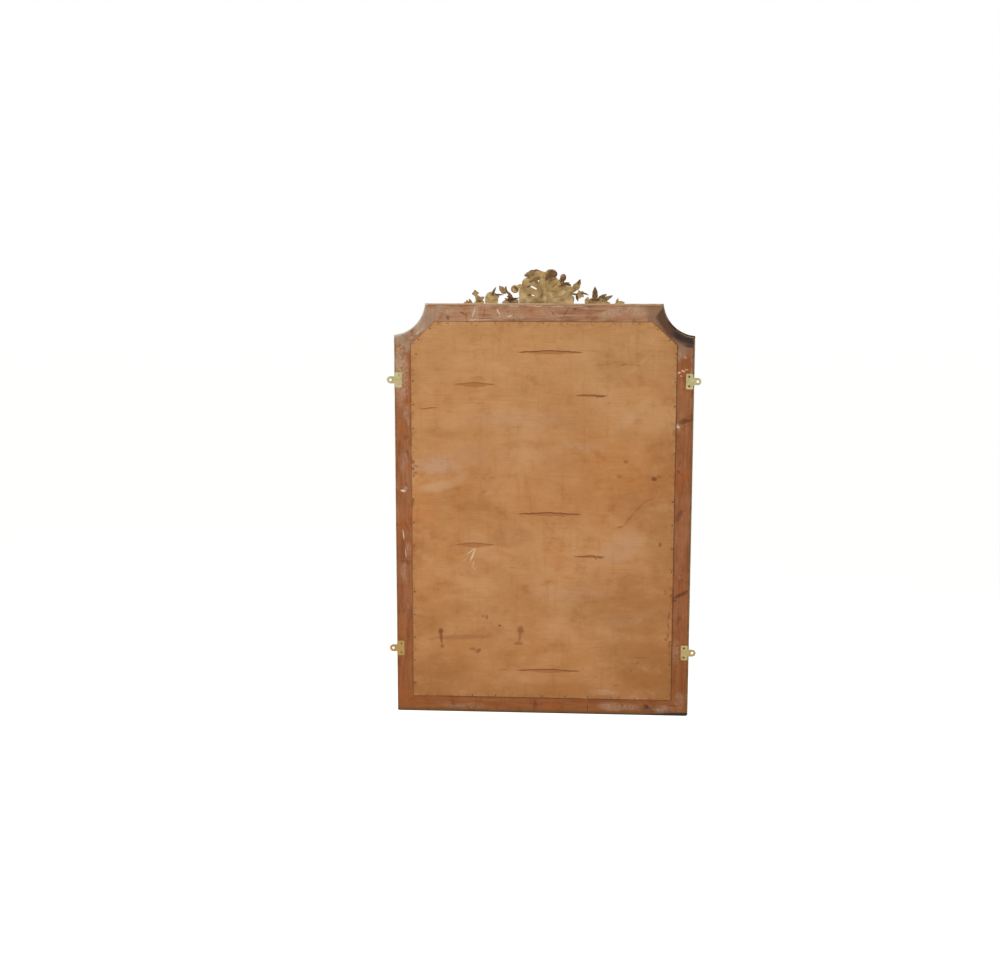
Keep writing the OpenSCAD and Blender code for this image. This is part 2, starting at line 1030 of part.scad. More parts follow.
module crest_fan_leaf() {
    color(gilt) {
        boss(
            [194, 6],
            function(a) (a < 180 ? 24 + 12 * pow(sin(a), 2) : 24 - 4 * sin(-a)) + abs(sin(4.5 * a)),
            function(a, s) 1.5 + (leaf_t - 1) * (1 - s * s) + (a < 180 ? 1.5 * s * abs(sin(4.5 * a)) : 0),
            rail_front
        );
        leaf([191, 28], 102, 34, stem_d + 4, 24, stem_d + 2, rail_front, 2, 0.9);
        leaf([184, 12], 134, 27, 13, 8, leaf_t - 3, rail_front, 0, 0.6);
        leaf([182, 33], 188, 32, stem_d + 0.5, -10, stem_d, rail_front, 0, 1);
    }
}

module crest_lobed_leaf() {
    color(gilt) {
        leaf([221, -3], 4, 40, 30, 0, leaf_t - 1, rail_front, 0, 0.6);
        leaf([229, 0], 44, 40, 23, 20, leaf_t, rail_front, 0, 0.8);
        boss(
            [254, 36],
            function(a) 11 + 2 * cos(4 * a + 30),
            function(a, s) 1.5 + (leaf_t - 2) * (1 - s * s),
            rail_front + 0.5,
            32
        );
        leaf([244, 6], 132, 30, 17, 26, leaf_t - 3);
    }
}

module crest_end_leaf_right() {
    color(gilt) {
        leaf([262, -4], 14, 36, 20, -10, leaf_t - 2, rail_front, 0, 0.5);
        leaf([268, 0], 58, 19, 10, 0, leaf_t - 3);
        leaf([281, 0], 64, 14, 9, 0, leaf_t - 3);
    }
}

module crest_flower() {
    color(gilt) {
        boss(
            [-133, 33],
            function(a) 13.5 + 2.5 * cos(5 * a + 20),
            function(a, s) s < 0.3 ? leaf_t : 2 + (leaf_t - 4) * (1 - 0.5 * s),
            cartouche_front
        );
        leaf([-124, 33], 2, 25, 7, 0, stem_d, cartouche_front, 0, 0.7);
        leaf([-118, 30], -112, 24, 9, 8, leaf_t - 4, cartouche_front);
        leaf([-138, 37], 176, 27, stem_d + 1, 40, stem_d, cartouche_front, 0, 1);
    }
}

module crest_leaf_bed_left() {
    color(gilt) {
        leaf([-150, 2], 180, 94, 35, 0, leaf_t, rail_front, 0, 0.6);
        leaf([-156, 0], 104, 25, 19, 0, leaf_t - 3, rail_front, 0, 0.5);
        leaf([-187, 10], 92, 51, 23, -4, leaf_t - 1, rail_front, 2, 1);
        leaf([-197, 12], 142, 40, 15, 10, leaf_t - 2, rail_front, 2);
        leaf([-212, 8], 150, 46, 14, 6, leaf_t - 3, rail_front, 2);
    }
}

module crest_end_leaf_left() {
    color(gilt) {
        leaf([-261, -4], 166, 37, 22, 4, leaf_t - 2, rail_front, 0, 0.5);
        leaf([-266, 0], 108, 21, 10, 0, leaf_t - 3);
    }
}

module crest_rose_left() {
    color(gilt)
        rose([-90, -9], 19, cartouche_front);
}

module crest_rose_right() {
    color(gilt)
        rose([71, -9], 19, cartouche_front);
}

stile_left();
stile_right();
top_rail();
bottom_rail();
corner_block_left();
corner_block_right();
frame_tongues();
back_board();
board_tacks();
moulding_left();
moulding_right();
moulding_top();
moulding_bottom();
moulding_corner_left();
moulding_corner_right();
slip_left();
slip_right();
slip_top();
slip_bottom();
slip_corner_left();
slip_corner_right();
mirror_glass();
glass_blocks();
hanger_plate_upper_left();
hanger_plate_upper_right();
hanger_plate_lower_left();
hanger_plate_lower_right();
hanger_screws();
crest_cartouche_left();
crest_cartouche_right();
crest_rail_left();
crest_rail_right();
crest_dowels();
crest_shell();
crest_pendant_leaf();
crest_crown_leaf();
crest_brow_leaf();
crest_side_leaf();
crest_horn_leaf();
crest_ball_scroll();
crest_stems_right();
crest_fan_leaf();
crest_lobed_leaf();
crest_end_leaf_right();
crest_flower();
crest_leaf_bed_left();
crest_end_leaf_left();
crest_rose_left();
crest_rose_right();
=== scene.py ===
"""An old gilded wall mirror seen from behind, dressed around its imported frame."""

import math

import bmesh
import bpy
from mathutils import Matrix, Vector, noise
from mathutils.geometry import intersect_point_line


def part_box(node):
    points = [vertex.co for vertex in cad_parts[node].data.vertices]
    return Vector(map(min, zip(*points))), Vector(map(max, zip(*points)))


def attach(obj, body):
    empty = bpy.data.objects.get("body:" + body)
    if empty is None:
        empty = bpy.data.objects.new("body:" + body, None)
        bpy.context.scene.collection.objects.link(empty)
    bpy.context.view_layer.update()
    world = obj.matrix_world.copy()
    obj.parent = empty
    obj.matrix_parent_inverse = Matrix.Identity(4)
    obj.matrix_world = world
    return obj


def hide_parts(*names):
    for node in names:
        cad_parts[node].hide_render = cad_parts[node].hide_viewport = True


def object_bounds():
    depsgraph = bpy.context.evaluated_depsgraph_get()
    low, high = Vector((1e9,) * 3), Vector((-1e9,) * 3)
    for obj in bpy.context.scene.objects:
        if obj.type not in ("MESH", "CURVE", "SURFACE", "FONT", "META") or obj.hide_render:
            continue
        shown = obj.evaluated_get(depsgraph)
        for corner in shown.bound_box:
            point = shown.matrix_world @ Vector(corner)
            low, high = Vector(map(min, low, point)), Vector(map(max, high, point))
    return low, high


MM = 0.001

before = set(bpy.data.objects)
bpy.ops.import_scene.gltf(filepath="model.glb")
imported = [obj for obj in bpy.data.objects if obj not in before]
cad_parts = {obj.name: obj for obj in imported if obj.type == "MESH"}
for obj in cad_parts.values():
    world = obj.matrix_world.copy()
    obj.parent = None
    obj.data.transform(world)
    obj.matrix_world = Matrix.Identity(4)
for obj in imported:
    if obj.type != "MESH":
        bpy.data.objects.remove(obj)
cad_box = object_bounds()

# Where things are, taken from the frame
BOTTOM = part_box("moulding_bottom")[0].z
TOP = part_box("moulding_top")[1].z
HALF_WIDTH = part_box("moulding_right")[1].x
BOARD_LOW, BOARD_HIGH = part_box("back_board")
STRIP_BACK = -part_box("crest_rail_left")[1].y / MM
STRIP_FACE = -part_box("crest_rail_left")[0].y / MM
CARTOUCHE_FACE = -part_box("crest_cartouche_left")[0].y / MM
FRONT = -cad_box[0][1] / MM

# The scooped corners: radius, and how far their centres stand outside the frame's edges
SCOOP_RADIUS = 128 * MM
SCOOP_OUT = 11 * MM

# Width and height that are cut off the top corners of the back board
BOARD_CUT = (92.5 * MM, 83 * MM)

# The veneer of the back board was peeled from one log, so its figure comes again every turn
VENEER_TURN = 603 * MM

# The camera's place, its turn in degrees and its lens in mm
CAMERA_AT = (-0.1999, 5.3302, 0.9421)
CAMERA_TURN = (81.244, -0.022, 183.851)
CAMERA_LENS = 52.2

# The floor lies as far below the mirror as a mantelshelf stands above it
FLOOR_DROP = 1.05
FLOOR_REACH = 60

# The soft light from all round, and what the floor adds for the camera and in the glass to be white
SOFT_LIGHT = 0.52
FLOOR_GLOW = (0.54, 0.54, 0.54, 1)

# Lamps: name, place, size, power in watts and whether they show as glints
LAMPS = [
    ("back_lamp", (1.4, 3.6, 2.0), 2.4, 84, False),
    ("front_lamp", (-1.8, -3.3, 3.3), 2.2, 104, True)
]

# Under the back lamp a surface shows this share of its own colour, and this much sheen over it
LAMP_SHARE = 0.92
LAMP_SHEEN = 0.020

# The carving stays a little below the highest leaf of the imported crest
CREST_HIGH = (cad_box[1][2] - TOP) / MM - 0.3


def on_back(x, height):
    """A point of the back, from x and the height above the bottom edge in mm."""
    return Vector((x * MM, 0.0, BOTTOM + height * MM))


def seen(red, green, blue):
    """The colour that a surface of the back needs to look like this sRGB colour under the back lamp."""
    linear = [((part / 255 + 0.055) / 1.055) ** 2.4 for part in (red, green, blue)]
    return (*[max(part - LAMP_SHEEN, 0.004) / LAMP_SHARE for part in linear], 1)


def add_object(name, data):
    """A new object in the scene, at the origin."""
    added = bpy.data.objects.new(name, data)
    bpy.context.scene.collection.objects.link(added)
    return added


def mesh_from(name, shape, material):
    """Turns a bmesh into a mesh of one material."""
    mesh = bpy.data.meshes.new(name)
    shape.to_mesh(mesh)
    shape.free()
    mesh.materials.append(material)
    return mesh


def mesh_shown_by(holder):
    """The mesh that an object shows. The object itself goes."""
    mesh = bpy.data.meshes.new_from_object(holder.evaluated_get(bpy.context.evaluated_depsgraph_get()))
    bpy.data.objects.remove(holder)
    return mesh


class Finish:
    """One procedural finish. Each method adds nodes and returns what they put out."""

    def __init__(self, name, roughness=0.6, metallic=0.0):
        self.material = bpy.data.materials.new(name)
        self.material.use_nodes = True
        self.nodes = self.material.node_tree.nodes
        self.links = self.material.node_tree.links
        self.shader = self.nodes["Principled BSDF"]
        self.shader.inputs["Roughness"].default_value = roughness
        self.shader.inputs["Metallic"].default_value = metallic
        self.coordinates = self.nodes.new("ShaderNodeTexCoord")
        self.here = self.coordinates.outputs["Object"]
        self.x, self.y, self.z = self.split(self.here)

    def feed(self, socket, value):
        if isinstance(value, bpy.types.NodeSocket):
            self.links.new(value, socket)
        else:
            socket.default_value = value

    def node(self, kind, inputs, out=0, **settings):
        node = self.nodes.new("ShaderNode" + kind)
        for name, value in settings.items():
            setattr(node, name, value)
        for name, value in inputs.items():
            self.feed(node.inputs[name], value)
        return node.outputs[out]

    def split(self, vector):
        node = self.nodes.new("ShaderNodeSeparateXYZ")
        self.links.new(vector, node.inputs[0])
        return node.outputs[0], node.outputs[1], node.outputs[2]

    def math(self, how, a, b=0.0, c=0.0, clamp=False):
        return self.node("Math", {0: a, 1: b, 2: c}, operation=how, use_clamp=clamp)

    def all_of(self, *masks):
        product = masks[0]
        for mask in masks[1:]:
            product = self.math("MULTIPLY", product, mask)
        return product

    def any_of(self, *masks):
        most = masks[0]
        for mask in masks[1:]:
            most = self.math("MAXIMUM", most, mask)
        return most

    def ease(self, value, start, end, low=0.0, high=1.0):
        """Runs smoothly from low to high while the value goes from start to end."""
        inputs = {"Value": value, "From Min": start, "From Max": end, "To Min": low, "To Max": high}
        return self.node("MapRange", inputs, interpolation_type="SMOOTHSTEP")

    def mix(self, share, under, over):
        """The share of the colour over that covers the colour under it."""
        return self.node("Mix", {0: share, 6: under, 7: over}, out=2, data_type="RGBA")

    def lay(self, under, mask, strength, over):
        """Lays one colour over another where the mask is, at this strength."""
        return self.mix(self.math("MULTIPLY", mask, strength), under, over)

    def stretched(self, x, y, z):
        """The place in metres, times a scale along each axis."""
        return self.node("Mapping", {"Vector": self.here, "Scale": (x, y, z)}, vector_type="POINT")

    def cloud(self, scale, at=None, detail=4.0, rough=0.55, bend=0.0):
        """Noise from 0 to 1, mostly near a half."""
        inputs = {
            "Vector": at or self.here, "Scale": scale, "Detail": detail,
            "Roughness": rough, "Distortion": bend
        }
        return self.node("TexNoise", inputs)

    def blurred(self, scale, reach, detail=2.0):
        """The place, pushed about by noise so that what is drawn there has ragged edges."""
        inputs = {"Vector": self.here, "Scale": scale, "Detail": detail}
        push = self.node("TexNoise", inputs, out=1)
        centred = self.node("VectorMath", {0: push, 1: (0.5, 0.5, 0.5)}, operation="SUBTRACT")
        scaled = self.node("VectorMath", {0: centred, "Scale": reach}, operation="SCALE")
        return self.node("VectorMath", {0: self.here, 1: scaled}, operation="ADD")

    def dot(self, vector, direction):
        return self.node("VectorMath", {0: vector, 1: direction}, out=1, operation="DOT_PRODUCT")

    def oval(self, place, x, height, half_length, half_width, turn=0.0, soft=0.6, strength=1.0):
        """The strength in the middle of an oval on the back, and 0 outside it. Sizes are in mm."""
        offset = self.node("VectorMath", {0: place, 1: on_back(x, height)}, operation="SUBTRACT")
        sine_part, cosine_part = math.sin(math.radians(turn)), math.cos(math.radians(turn))
        length, width = half_length * MM, half_width * MM
        along = self.dot(offset, (cosine_part / length, 0, sine_part / length))
        across = self.dot(offset, (-sine_part / width, 0, cosine_part / width))
        reach = self.math("MULTIPLY_ADD", along, along, self.math("MULTIPLY", across, across))
        return self.ease(reach, 1.0, (1.0 - soft) ** 2, high=strength)

    def ovals(self, place, spots, soft=0.6):
        """Several ovals, each x, height, half length, half width, turn and strength."""
        most = 0.0
        for x, height, half_length, half_width, turn, strength in spots:
            mask = self.oval(place, x, height, half_length, half_width, turn, soft, strength)
            most = self.math("MAXIMUM", most, mask)
        return most

    def strokes(self, place, lines, soft=0.7):
        """Several strokes, each from x and height to x and height, with its half width and strength."""
        spots = []
        for x1, height1, x2, height2, half_width, strength in lines:
            length = math.hypot(x2 - x1, height2 - height1) / 2 + half_width
            turn = math.degrees(math.atan2(height2 - height1, x2 - x1))
            spots.append(((x1 + x2) / 2, (height1 + height2) / 2, length, half_width, turn, strength))
        return self.ovals(place, spots, soft)

    def least(self, *values):
        """The least of these values, as any_of gives the most."""
        smallest = values[0]
        for value in values[1:]:
            smallest = self.math("MINIMUM", smallest, value)
        return smallest

    def inside_scoop(self):
        """Distance in metres from the arc of the nearer scooped corner."""
        scoop_x = self.math("SUBTRACT", self.math("ABSOLUTE", self.x), HALF_WIDTH + SCOOP_OUT)
        scoop_z = self.math("SUBTRACT", self.z, TOP + SCOOP_OUT)
        offset = self.node("CombineXYZ", {0: scoop_x, 1: 0.0, 2: scoop_z})
        reach = self.node("VectorMath", {0: offset}, out=1, operation="LENGTH")
        return self.math("SUBTRACT", reach, SCOOP_RADIUS)

    def inside_edge(self):
        """Distance in metres inside the frame's outline, scooped corners and all."""
        side = self.math("SUBTRACT", HALF_WIDTH, self.math("ABSOLUTE", self.x))
        high = self.math("SUBTRACT", TOP, self.z)
        low = self.math("SUBTRACT", self.z, BOTTOM)
        return self.least(side, high, low, self.inside_scoop())

    def inside_board(self):
        """Distance in metres inside the board, with its two corners cut off; less than 0 outside it."""
        side = self.math("SUBTRACT", BOARD_HIGH.x, self.math("ABSOLUTE", self.x))
        high = self.math("SUBTRACT", BOARD_HIGH.z, self.z)
        low = self.math("SUBTRACT", self.z, BOARD_LOW.z)
        slant = math.hypot(*BOARD_CUT)
        across = self.math("MULTIPLY", side, BOARD_CUT[1] / slant)
        up = self.math("MULTIPLY", high, BOARD_CUT[0] / slant)
        corner = self.math("SUBTRACT", self.math("ADD", across, up), BOARD_CUT[0] * BOARD_CUT[1] / slant)
        return self.least(side, high, low, corner)

    def facing(self, axis):
        """The surface's own direction along one axis of the part, from -1 to 1."""
        normal = self.coordinates.outputs["Normal"]
        return self.split(normal)["xyz".index(axis)]

    def relief(self, height, depth, strength=1.0):
        """Bumps of a depth in metres."""
        inputs = {"Height": height, "Distance": depth, "Strength": strength}
        self.links.new(self.node("Bump", inputs), self.shader.inputs["Normal"])

    def colour(self, value):
        self.feed(self.shader.inputs["Base Color"], value)

    def gloss(self, value):
        self.feed(self.shader.inputs["Roughness"], value)

    def metal(self, bare, most):
        """Metal wherever the surface isn't bare."""
        covered = self.math("SUBTRACT", 1.0, bare)
        self.feed(self.shader.inputs["Metallic"], self.math("MULTIPLY", covered, most))


# Marks on the back board. Ovals: x, height, half length, half width, turn and strength
RUST_SPOTS = [
    (384, 320, 13, 17, 0, 1.0), (379, 262, 10, 13, 0, 0.6), (81, 331, 16, 20, 0, 0.7),
    (88, 277, 24, 10, 0, 0.6), (240, 246, 16, 10, -30, 0.7), (262, 252, 18, 9, 10, 0.5),
    (208, 377, 8, 13, 0, 0.6), (223, 382, 9, 7, 0, 0.5), (159, 346, 6, 6, 0, 1.0),
    (-413, 912, 14, 11, 10, 1.0), (-430, 920, 16, 6, 20, 0.5), (-308, 976, 12, 10, 0, 0.55),
    (-285, 921, 13, 9, 10, 0.4), (219, 857, 14, 12, 0, 0.3), (-439, 664, 8, 11, 0, 0.75),
    (-462, 485, 6, 14, 0, 0.4), (486, 968, 9, 10, 0, 0.8), (474, 952, 13, 6, 20, 0.6),
    (486, 942, 10, 9, 0, 0.75), (477, 925, 13, 8, 0, 0.5), (470, 1370, 8, 6, 0, 0.5),
    (166, 1423, 3, 4, 0, 0.6), (-337, 178, 6, 5, 0, 0.4), (-467, 302, 11, 9, 0, 0.5),
    (-350, 1331, 9, 6, 0, 0.4), (-486, 1376, 4, 5, 0, 0.9), (-460, 1440, 4, 4, 0, 0.6)
]
# Strokes: from x and height to x and height, half width and strength
RUST_STROKES = [
    (384, 322, 380, 272, 8, 0.85), (81, 330, 86, 280, 8, 0.55), (441, 291, 170, 305, 13, 0.35),
    (441, 289, 400, 290, 5, 0.3), (464, 1166, 386, 1173, 2.6, 0.9), (-232, 1216, -196, 1217, 4, 0.9),
    (-204, 1210, -186, 1226, 2.4, 0.9), (-232, 611, -198, 613, 3.4, 0.9), (-206, 604, -188, 622, 2.4, 0.9),
    (-122, 1226, -200, 1218, 2.6, 0.7), (-133, 618, -204, 613, 2.6, 0.7), (-342, 230, -403, 231, 2.4, 0.5),
    (-356, 209, -374, 210, 2.4, 0.45), (-271, 118, -297, 124, 3, 0.6), (-281, 1330, -310, 1338, 4, 0.55),
    (-310, 1337, -345, 1331, 2.4, 0.4), (170, 172, 110, 174, 2.4, 0.4), (125, 570, 95, 569, 2.6, 0.5),
    (-70, 772, -82, 765, 3, 0.5), (-237, 1380, -110, 1388, 2.4, 0.25), (60, 1195, 20, 1193, 2.6, 0.35),
    (-479, 412, -474, 374, 4, 0.7), (-472, 372, -478, 334, 3.6, 0.6), (-474, 330, -472, 300, 5, 0.5),
    (-477, 296, -482, 262, 4, 0.6), (489, 836, 486, 790, 5, 0.6)
]
RED_RUBS = [
    (-277, 728, -304, 733, 6, 0.9), (-304, 735, -342, 787, 8, 0.8), (-342, 787, -376, 822, 7, 0.7),
    (-366, 818, -411, 841, 5, 0.65), (-316, 740, -350, 770, 4, 0.4), (-395, 700, -430, 735, 5, 0.25),
    (227, 915, 212, 904, 5, 0.5), (196, 911, 176, 909, 5, 0.4), (480, 655, 492, 602, 15, 0.5),
    (487, 712, 462, 700, 16, 0.6), (419, 691, 410, 684, 12, 0.35), (-190, 1010, -230, 985, 14, 0.35),
    (-285, 1290, -330, 1250, 14, 0.3), (210, 1216, 160, 1212, 12, 0.25), (120, 1300, 80, 1294, 12, 0.3),
    (480, 455, 430, 440, 14, 0.3), (486, 380, 440, 376, 8, 0.4)
]
CHALK_STROKES = [
    (249, 645, 273, 588, 3.6, 0.85), (249, 645, 288, 615, 2.6, 0.7), (300, 590, 281, 606, 2.0, 0.35),
    (256, 600, 262, 570, 2.6, 0.4), (262, 570, 250, 560, 3, 0.25)
]
PALE_RUBS = [
    (-318, 1300, -402, 1385, 9, 0.3), (-300, 1290, -352, 1350, 6, 0.2), (-250, 1080, -350, 1165, 26, 0.28),
    (-350, 1165, -400, 1215, 18, 0.2), (450, 866, 335, 886, 26, 0.6), (345, 885, 280, 925, 24, 0.3),
    (-382, 1395, -410, 1440, 5, 0.25)
]
LILAC_HAZE = [
    (390, 955, 120, 50, 6, 0.9), (280, 985, 120, 60, 0, 0.35), (-140, 1024, 120, 20, 3, 0.4),
    (60, 1000, 120, 40, 0, 0.25), (-300, 655, 120, 60, -30, 0.45), (-235, 90, 75, 18, 0, 0.7),
    (-330, 380, 160, 40, -20, 0.2), (100, 1125, 260, 46, 0, 0.35), (-100, 470, 200, 40, 0, 0.2)
]
# Brown patches, and painted shade that darkens the board towards its edges and corners, most at the bottom
BROWN_PATCHES_AND_EDGE_SHADE = [
    (-330, 250, 190, 90, 0, 0.6), (-320, 420, 300, 190, 0, 0.6), (-350, 790, 130, 100, 30, 0.55),
    (-440, 780, 90, 260, 0, 0.6), (-300, 1330, 160, 90, 0, 0.55), (0, 1450, 460, 50, 0, 0.3),
    (400, 1390, 140, 120, 0, 0.45), (380, 1080, 90, 26, 10, 0.4), (60, 1035, 130, 22, 0, 0.35),
    (250, 820, 60, 50, 30, 0.35), (-450, 150, 280, 190, 20, 0.85), (440, 110, 240, 130, -20, 0.75),
    (0, 80, 420, 60, 0, 0.55), (-480, 560, 110, 280, 0, 0.6), (-470, 1000, 110, 160, 0, 0.55),
    (-480, 1330, 90, 200, 0, 0.55), (490, 1330, 60, 170, 0, 0.55), (480, 640, 70, 90, 0, 0.55),
    (430, 350, 90, 60, 0, 0.25), (290, 1450, 120, 60, 0, 0.5), (-330, 1450, 130, 50, 0, 0.35),
    (-90, 1110, 160, 40, 20, 0.3), (120, 690, 140, 50, -6, 0.4), (280, 820, 90, 60, 0, 0.25),
    (-250, 520, 120, 60, 0, 0.3), (350, 1440, 60, 60, 0, 0.3), (290, 1250, 60, 30, 0, 0.2)
]
ORANGE_GLOW = [
    (-330, 930, 240, 150, 0, 0.85), (-30, 850, 260, 120, 0, 0.4), (-60, 240, 240, 110, 0, 0.45),
    (330, 220, 200, 80, 0, 0.3), (-380, 1240, 140, 90, 0, 0.6), (420, 500, 120, 80, 0, 0.45),
    (-330, 500, 200, 120, 0, 0.4), (-30, 100, 300, 40, 0, 0.4)
]

# Pointed figures of the veneer: x, height, half length, half width and how dark the edge is
VENEER_FIGURES = [(-26, 172, 126, 9.5, 0.85), (253, 52, 80, 11.5, 0.35), (-178, 13, 62, 6, 0.85)]


def veneer_figure(finish, place, x, height, half_length, half_width):
    """A pointed figure that comes again every turn of the log: its body, and its dark upper edge."""
    here_x, _, here_z = finish.split(place)
    along = finish.math("DIVIDE", finish.math("SUBTRACT", here_x, x * MM), half_length * MM)
    start = BOTTOM + height * MM - VENEER_TURN / 2
    turned = finish.math("FLOORED_MODULO", finish.math("SUBTRACT", here_z, start), VENEER_TURN)
    across = finish.math("DIVIDE", finish.math("SUBTRACT", turned, VENEER_TURN / 2), half_width * MM)
    taper = finish.math("SUBTRACT", 1.0, finish.math("ABSOLUTE", along), clamp=True)
    full = finish.math("POWER", taper, 0.8)
    under = finish.ease(across, -1.1, -0.7)
    off = finish.math("SUBTRACT", finish.math("ABSOLUTE", across), full)
    body = finish.all_of(finish.ease(off, 0.12, -0.3), under)
    rim = finish.math("ABSOLUTE", finish.math("SUBTRACT", across, finish.math("MULTIPLY", taper, 0.7)))
    edge = finish.all_of(finish.ease(rim, 0.36, 0.06), finish.ease(taper, 0.0, 0.2))
    return body, edge


def board_finish():
    """Old plywood: peeled veneer, golden tan, with its figure, clouds of dirt, stains, drips and chalk."""
    wood = Finish("old_plywood", roughness=0.62)
    ragged = wood.blurred(45, 0.006)
    loose = wood.blurred(8, 0.075, detail=4.0)

    # Broad tones
    broad = wood.cloud(2.4, wood.stretched(0.8, 1, 1.4), detail=4, bend=0.6)
    colour = wood.mix(wood.ease(broad, 0.38, 0.62), seen(180, 126, 78), seen(193, 142, 95))
    glow = wood.ovals(loose, ORANGE_GLOW, soft=0.95)
    colour = wood.lay(colour, glow, 0.6, seen(182, 118, 64))
    warm = wood.cloud(5.0, wood.stretched(0.7, 1, 1.2), detail=5, rough=0.6, bend=0.8)
    colour = wood.mix(wood.ease(warm, 0.50, 0.66, high=0.45), colour, seen(186, 123, 70))
    # Brown patches, and painted shade towards the board's edges and corners
    patches_and_edge_shade = wood.ovals(loose, BROWN_PATCHES_AND_EDGE_SHADE, soft=0.95)
    colour = wood.lay(colour, patches_and_edge_shade, 0.85, seen(152, 99, 54))
    high = wood.ease(wood.z, TOP - 0.75, TOP - 0.15, high=0.45)
    colour = wood.mix(high, colour, seen(186, 143, 97))
    haze = wood.ovals(loose, LILAC_HAZE, soft=0.95)
    colour = wood.lay(colour, haze, 0.8, seen(188, 146, 116))

    # Dirt, in clouds and fine mottling
    mottle = wood.cloud(14.0, wood.stretched(0.75, 1, 1.2), detail=8, rough=0.72)
    colour = wood.mix(wood.ease(mottle, 0.50, 0.70, high=0.42), colour, seen(150, 95, 50))
    colour = wood.mix(wood.ease(mottle, 0.50, 0.30, high=0.30), colour, seen(206, 158, 112))
    upright = wood.cloud(9.0, wood.stretched(4.0, 1, 0.6), detail=4, rough=0.6)
    colour = wood.mix(wood.ease(upright, 0.52, 0.75, high=0.30), colour, seen(158, 103, 58))

    # The lines of the peeled veneer lie along the board and wander like contours
    swell = wood.cloud(1.5, wood.stretched(0.35, 1, 2.6), detail=3.0, rough=0.45, bend=0.5)
    rings = wood.math("PINGPONG", wood.math("MULTIPLY", swell, 30.0), 0.5)
    patchy = wood.cloud(6.0, detail=4)
    lines = wood.all_of(wood.ease(rings, 0.34, 0.5), wood.ease(patchy, 0.45, 0.62))
    colour = wood.lay(colour, lines, 0.13, seen(140, 86, 44))
    fibre = wood.cloud(60.0, wood.stretched(0.10, 1, 7), detail=4, rough=0.7)
    colour = wood.mix(wood.ease(fibre, 0.45, 0.75, high=0.21), colour, seen(140, 88, 46))

    # Figure of the veneer
    for x, height, half_length, half_width, dark_edge in VENEER_FIGURES:
        body, edge = veneer_figure(wood, ragged, x, height, half_length, half_width)
        colour = wood.lay(colour, body, 0.68, seen(156, 98, 56))
        colour = wood.lay(colour, edge, dark_edge, seen(108, 62, 30))

    # Rubs, stains, strokes and chalk
    rubs = wood.strokes(ragged, RED_RUBS, soft=0.9)
    colour = wood.lay(colour, rubs, 0.7, seen(158, 88, 48))
    pale = wood.strokes(ragged, PALE_RUBS, soft=0.95)
    colour = wood.lay(colour, pale, 0.7, seen(200, 164, 128))
    rust = wood.any_of(wood.ovals(ragged, RUST_SPOTS, soft=0.8), wood.strokes(ragged, RUST_STROKES, soft=0.8))
    colour = wood.lay(colour, rust, 0.85, seen(116, 62, 20))
    chalk = wood.strokes(ragged, CHALK_STROKES)
    colour = wood.lay(colour, chalk, 0.85, seen(226, 204, 170))

    # A painted shadow line where the board meets the pine, and some grime along the edge of the board
    rim = wood.inside_board()
    grime = wood.cloud(40.0, detail=5, rough=0.7)
    line = wood.all_of(
        wood.ease(rim, 0.0034, 0.0014), wood.ease(grime, 0.34, 0.56, low=0.45),
        wood.ease(wood.x, 0.36, 0.46, 1.0, 0.45), wood.ease(wood.z, TOP - 0.16, TOP - 0.09, 1.0, 0.5)
    )
    colour = wood.lay(colour, line, 0.85, seen(84, 50, 30))
    band = wood.all_of(wood.ease(rim, 0.034, 0.0), wood.ease(grime, 0.48, 0.66))
    colour = wood.lay(colour, band, 0.5, seen(126, 74, 40))
    speck = wood.node("TexVoronoi", {"Vector": wood.here, "Scale": 30.0, "Randomness": 1.0})
    specks = wood.all_of(wood.ease(speck, 0.075, 0.03), wood.ease(mottle, 0.52, 0.60))
    colour = wood.lay(colour, specks, 0.5, seen(110, 66, 36))

    wood.colour(colour)
    wood.gloss(wood.ease(mottle, 0.3, 0.8, low=0.54, high=0.74))
    wood.relief(wood.math("ADD", wood.math("MULTIPLY", lines, 0.5), fibre), 0.0005, 0.35)
    return wood.material


# Marks on the pine. Patches where gesso was spilt and dust lies: ovals
GESSO_PATCHES = [
    (262, 1505, 34, 22, 0, 0.9), (252, 1530, 22, 26, 0, 0.7), (150, 1512, 46, 20, 0, 0.8),
    (100, 1508, 40, 14, 0, 0.6), (-30, 1518, 60, 22, 20, 0.5), (-160, 1540, 24, 14, 0, 0.6),
    (-250, 1522, 60, 26, -12, 0.9), (-350, 1530, 90, 26, 0, 0.75), (380, 1530, 70, 30, 0, 0.5),
    (440, 1535, 60, 30, 0, 0.7), (507, 1140, 12, 55, 0, 0.5), (520, 970, 18, 60, 0, 0.25),
    (522, 860, 14, 20, 0, 0.8), (506, 640, 16, 40, 0, 0.4), (520, 540, 14, 60, 0, 0.35),
    (510, 400, 14, 40, 0, 0.3), (-500, 1390, 30, 50, 0, 0.8), (-540, 1330, 10, 80, 0, 0.5),
    (-497, 1107, 10, 16, 0, 0.8), (-506, 560, 14, 50, 0, 0.3), (-500, 250, 30, 60, 0, 0.35),
    (-300, 38, 100, 22, 0, 0.5), (-450, 28, 60, 22, 0, 0.5), (-520, 60, 24, 50, 0, 0.4),
    (300, 30, 120, 16, 0, 0.3), (530, 1300, 40, 150, 0, 0.9), (525, 1400, 40, 60, 0, 0.9),
    (470, 1480, 60, 40, 40, 0.8)
]
WHITE_STROKES = [
    (471, 1440, 440, 1468, 4, 0.8), (495, 1424, 480, 1436, 3, 0.6), (527, 858, 519, 858, 6, 1.0),
    (526, 712, 520, 668, 3, 0.7), (518, 640, 512, 600, 2.4, 0.6), (171, 1536, 158, 1512, 3, 0.8),
    (130, 1508, 116, 1512, 3, 0.7), (250, 1540, 262, 1500, 3, 0.5), (298, 1494, 170, 1497, 2.4, 0.5),
    (-496, 1108, -501, 1104, 5, 0.8), (300, 1548, -235, 1546, 2.2, 0.6)
]
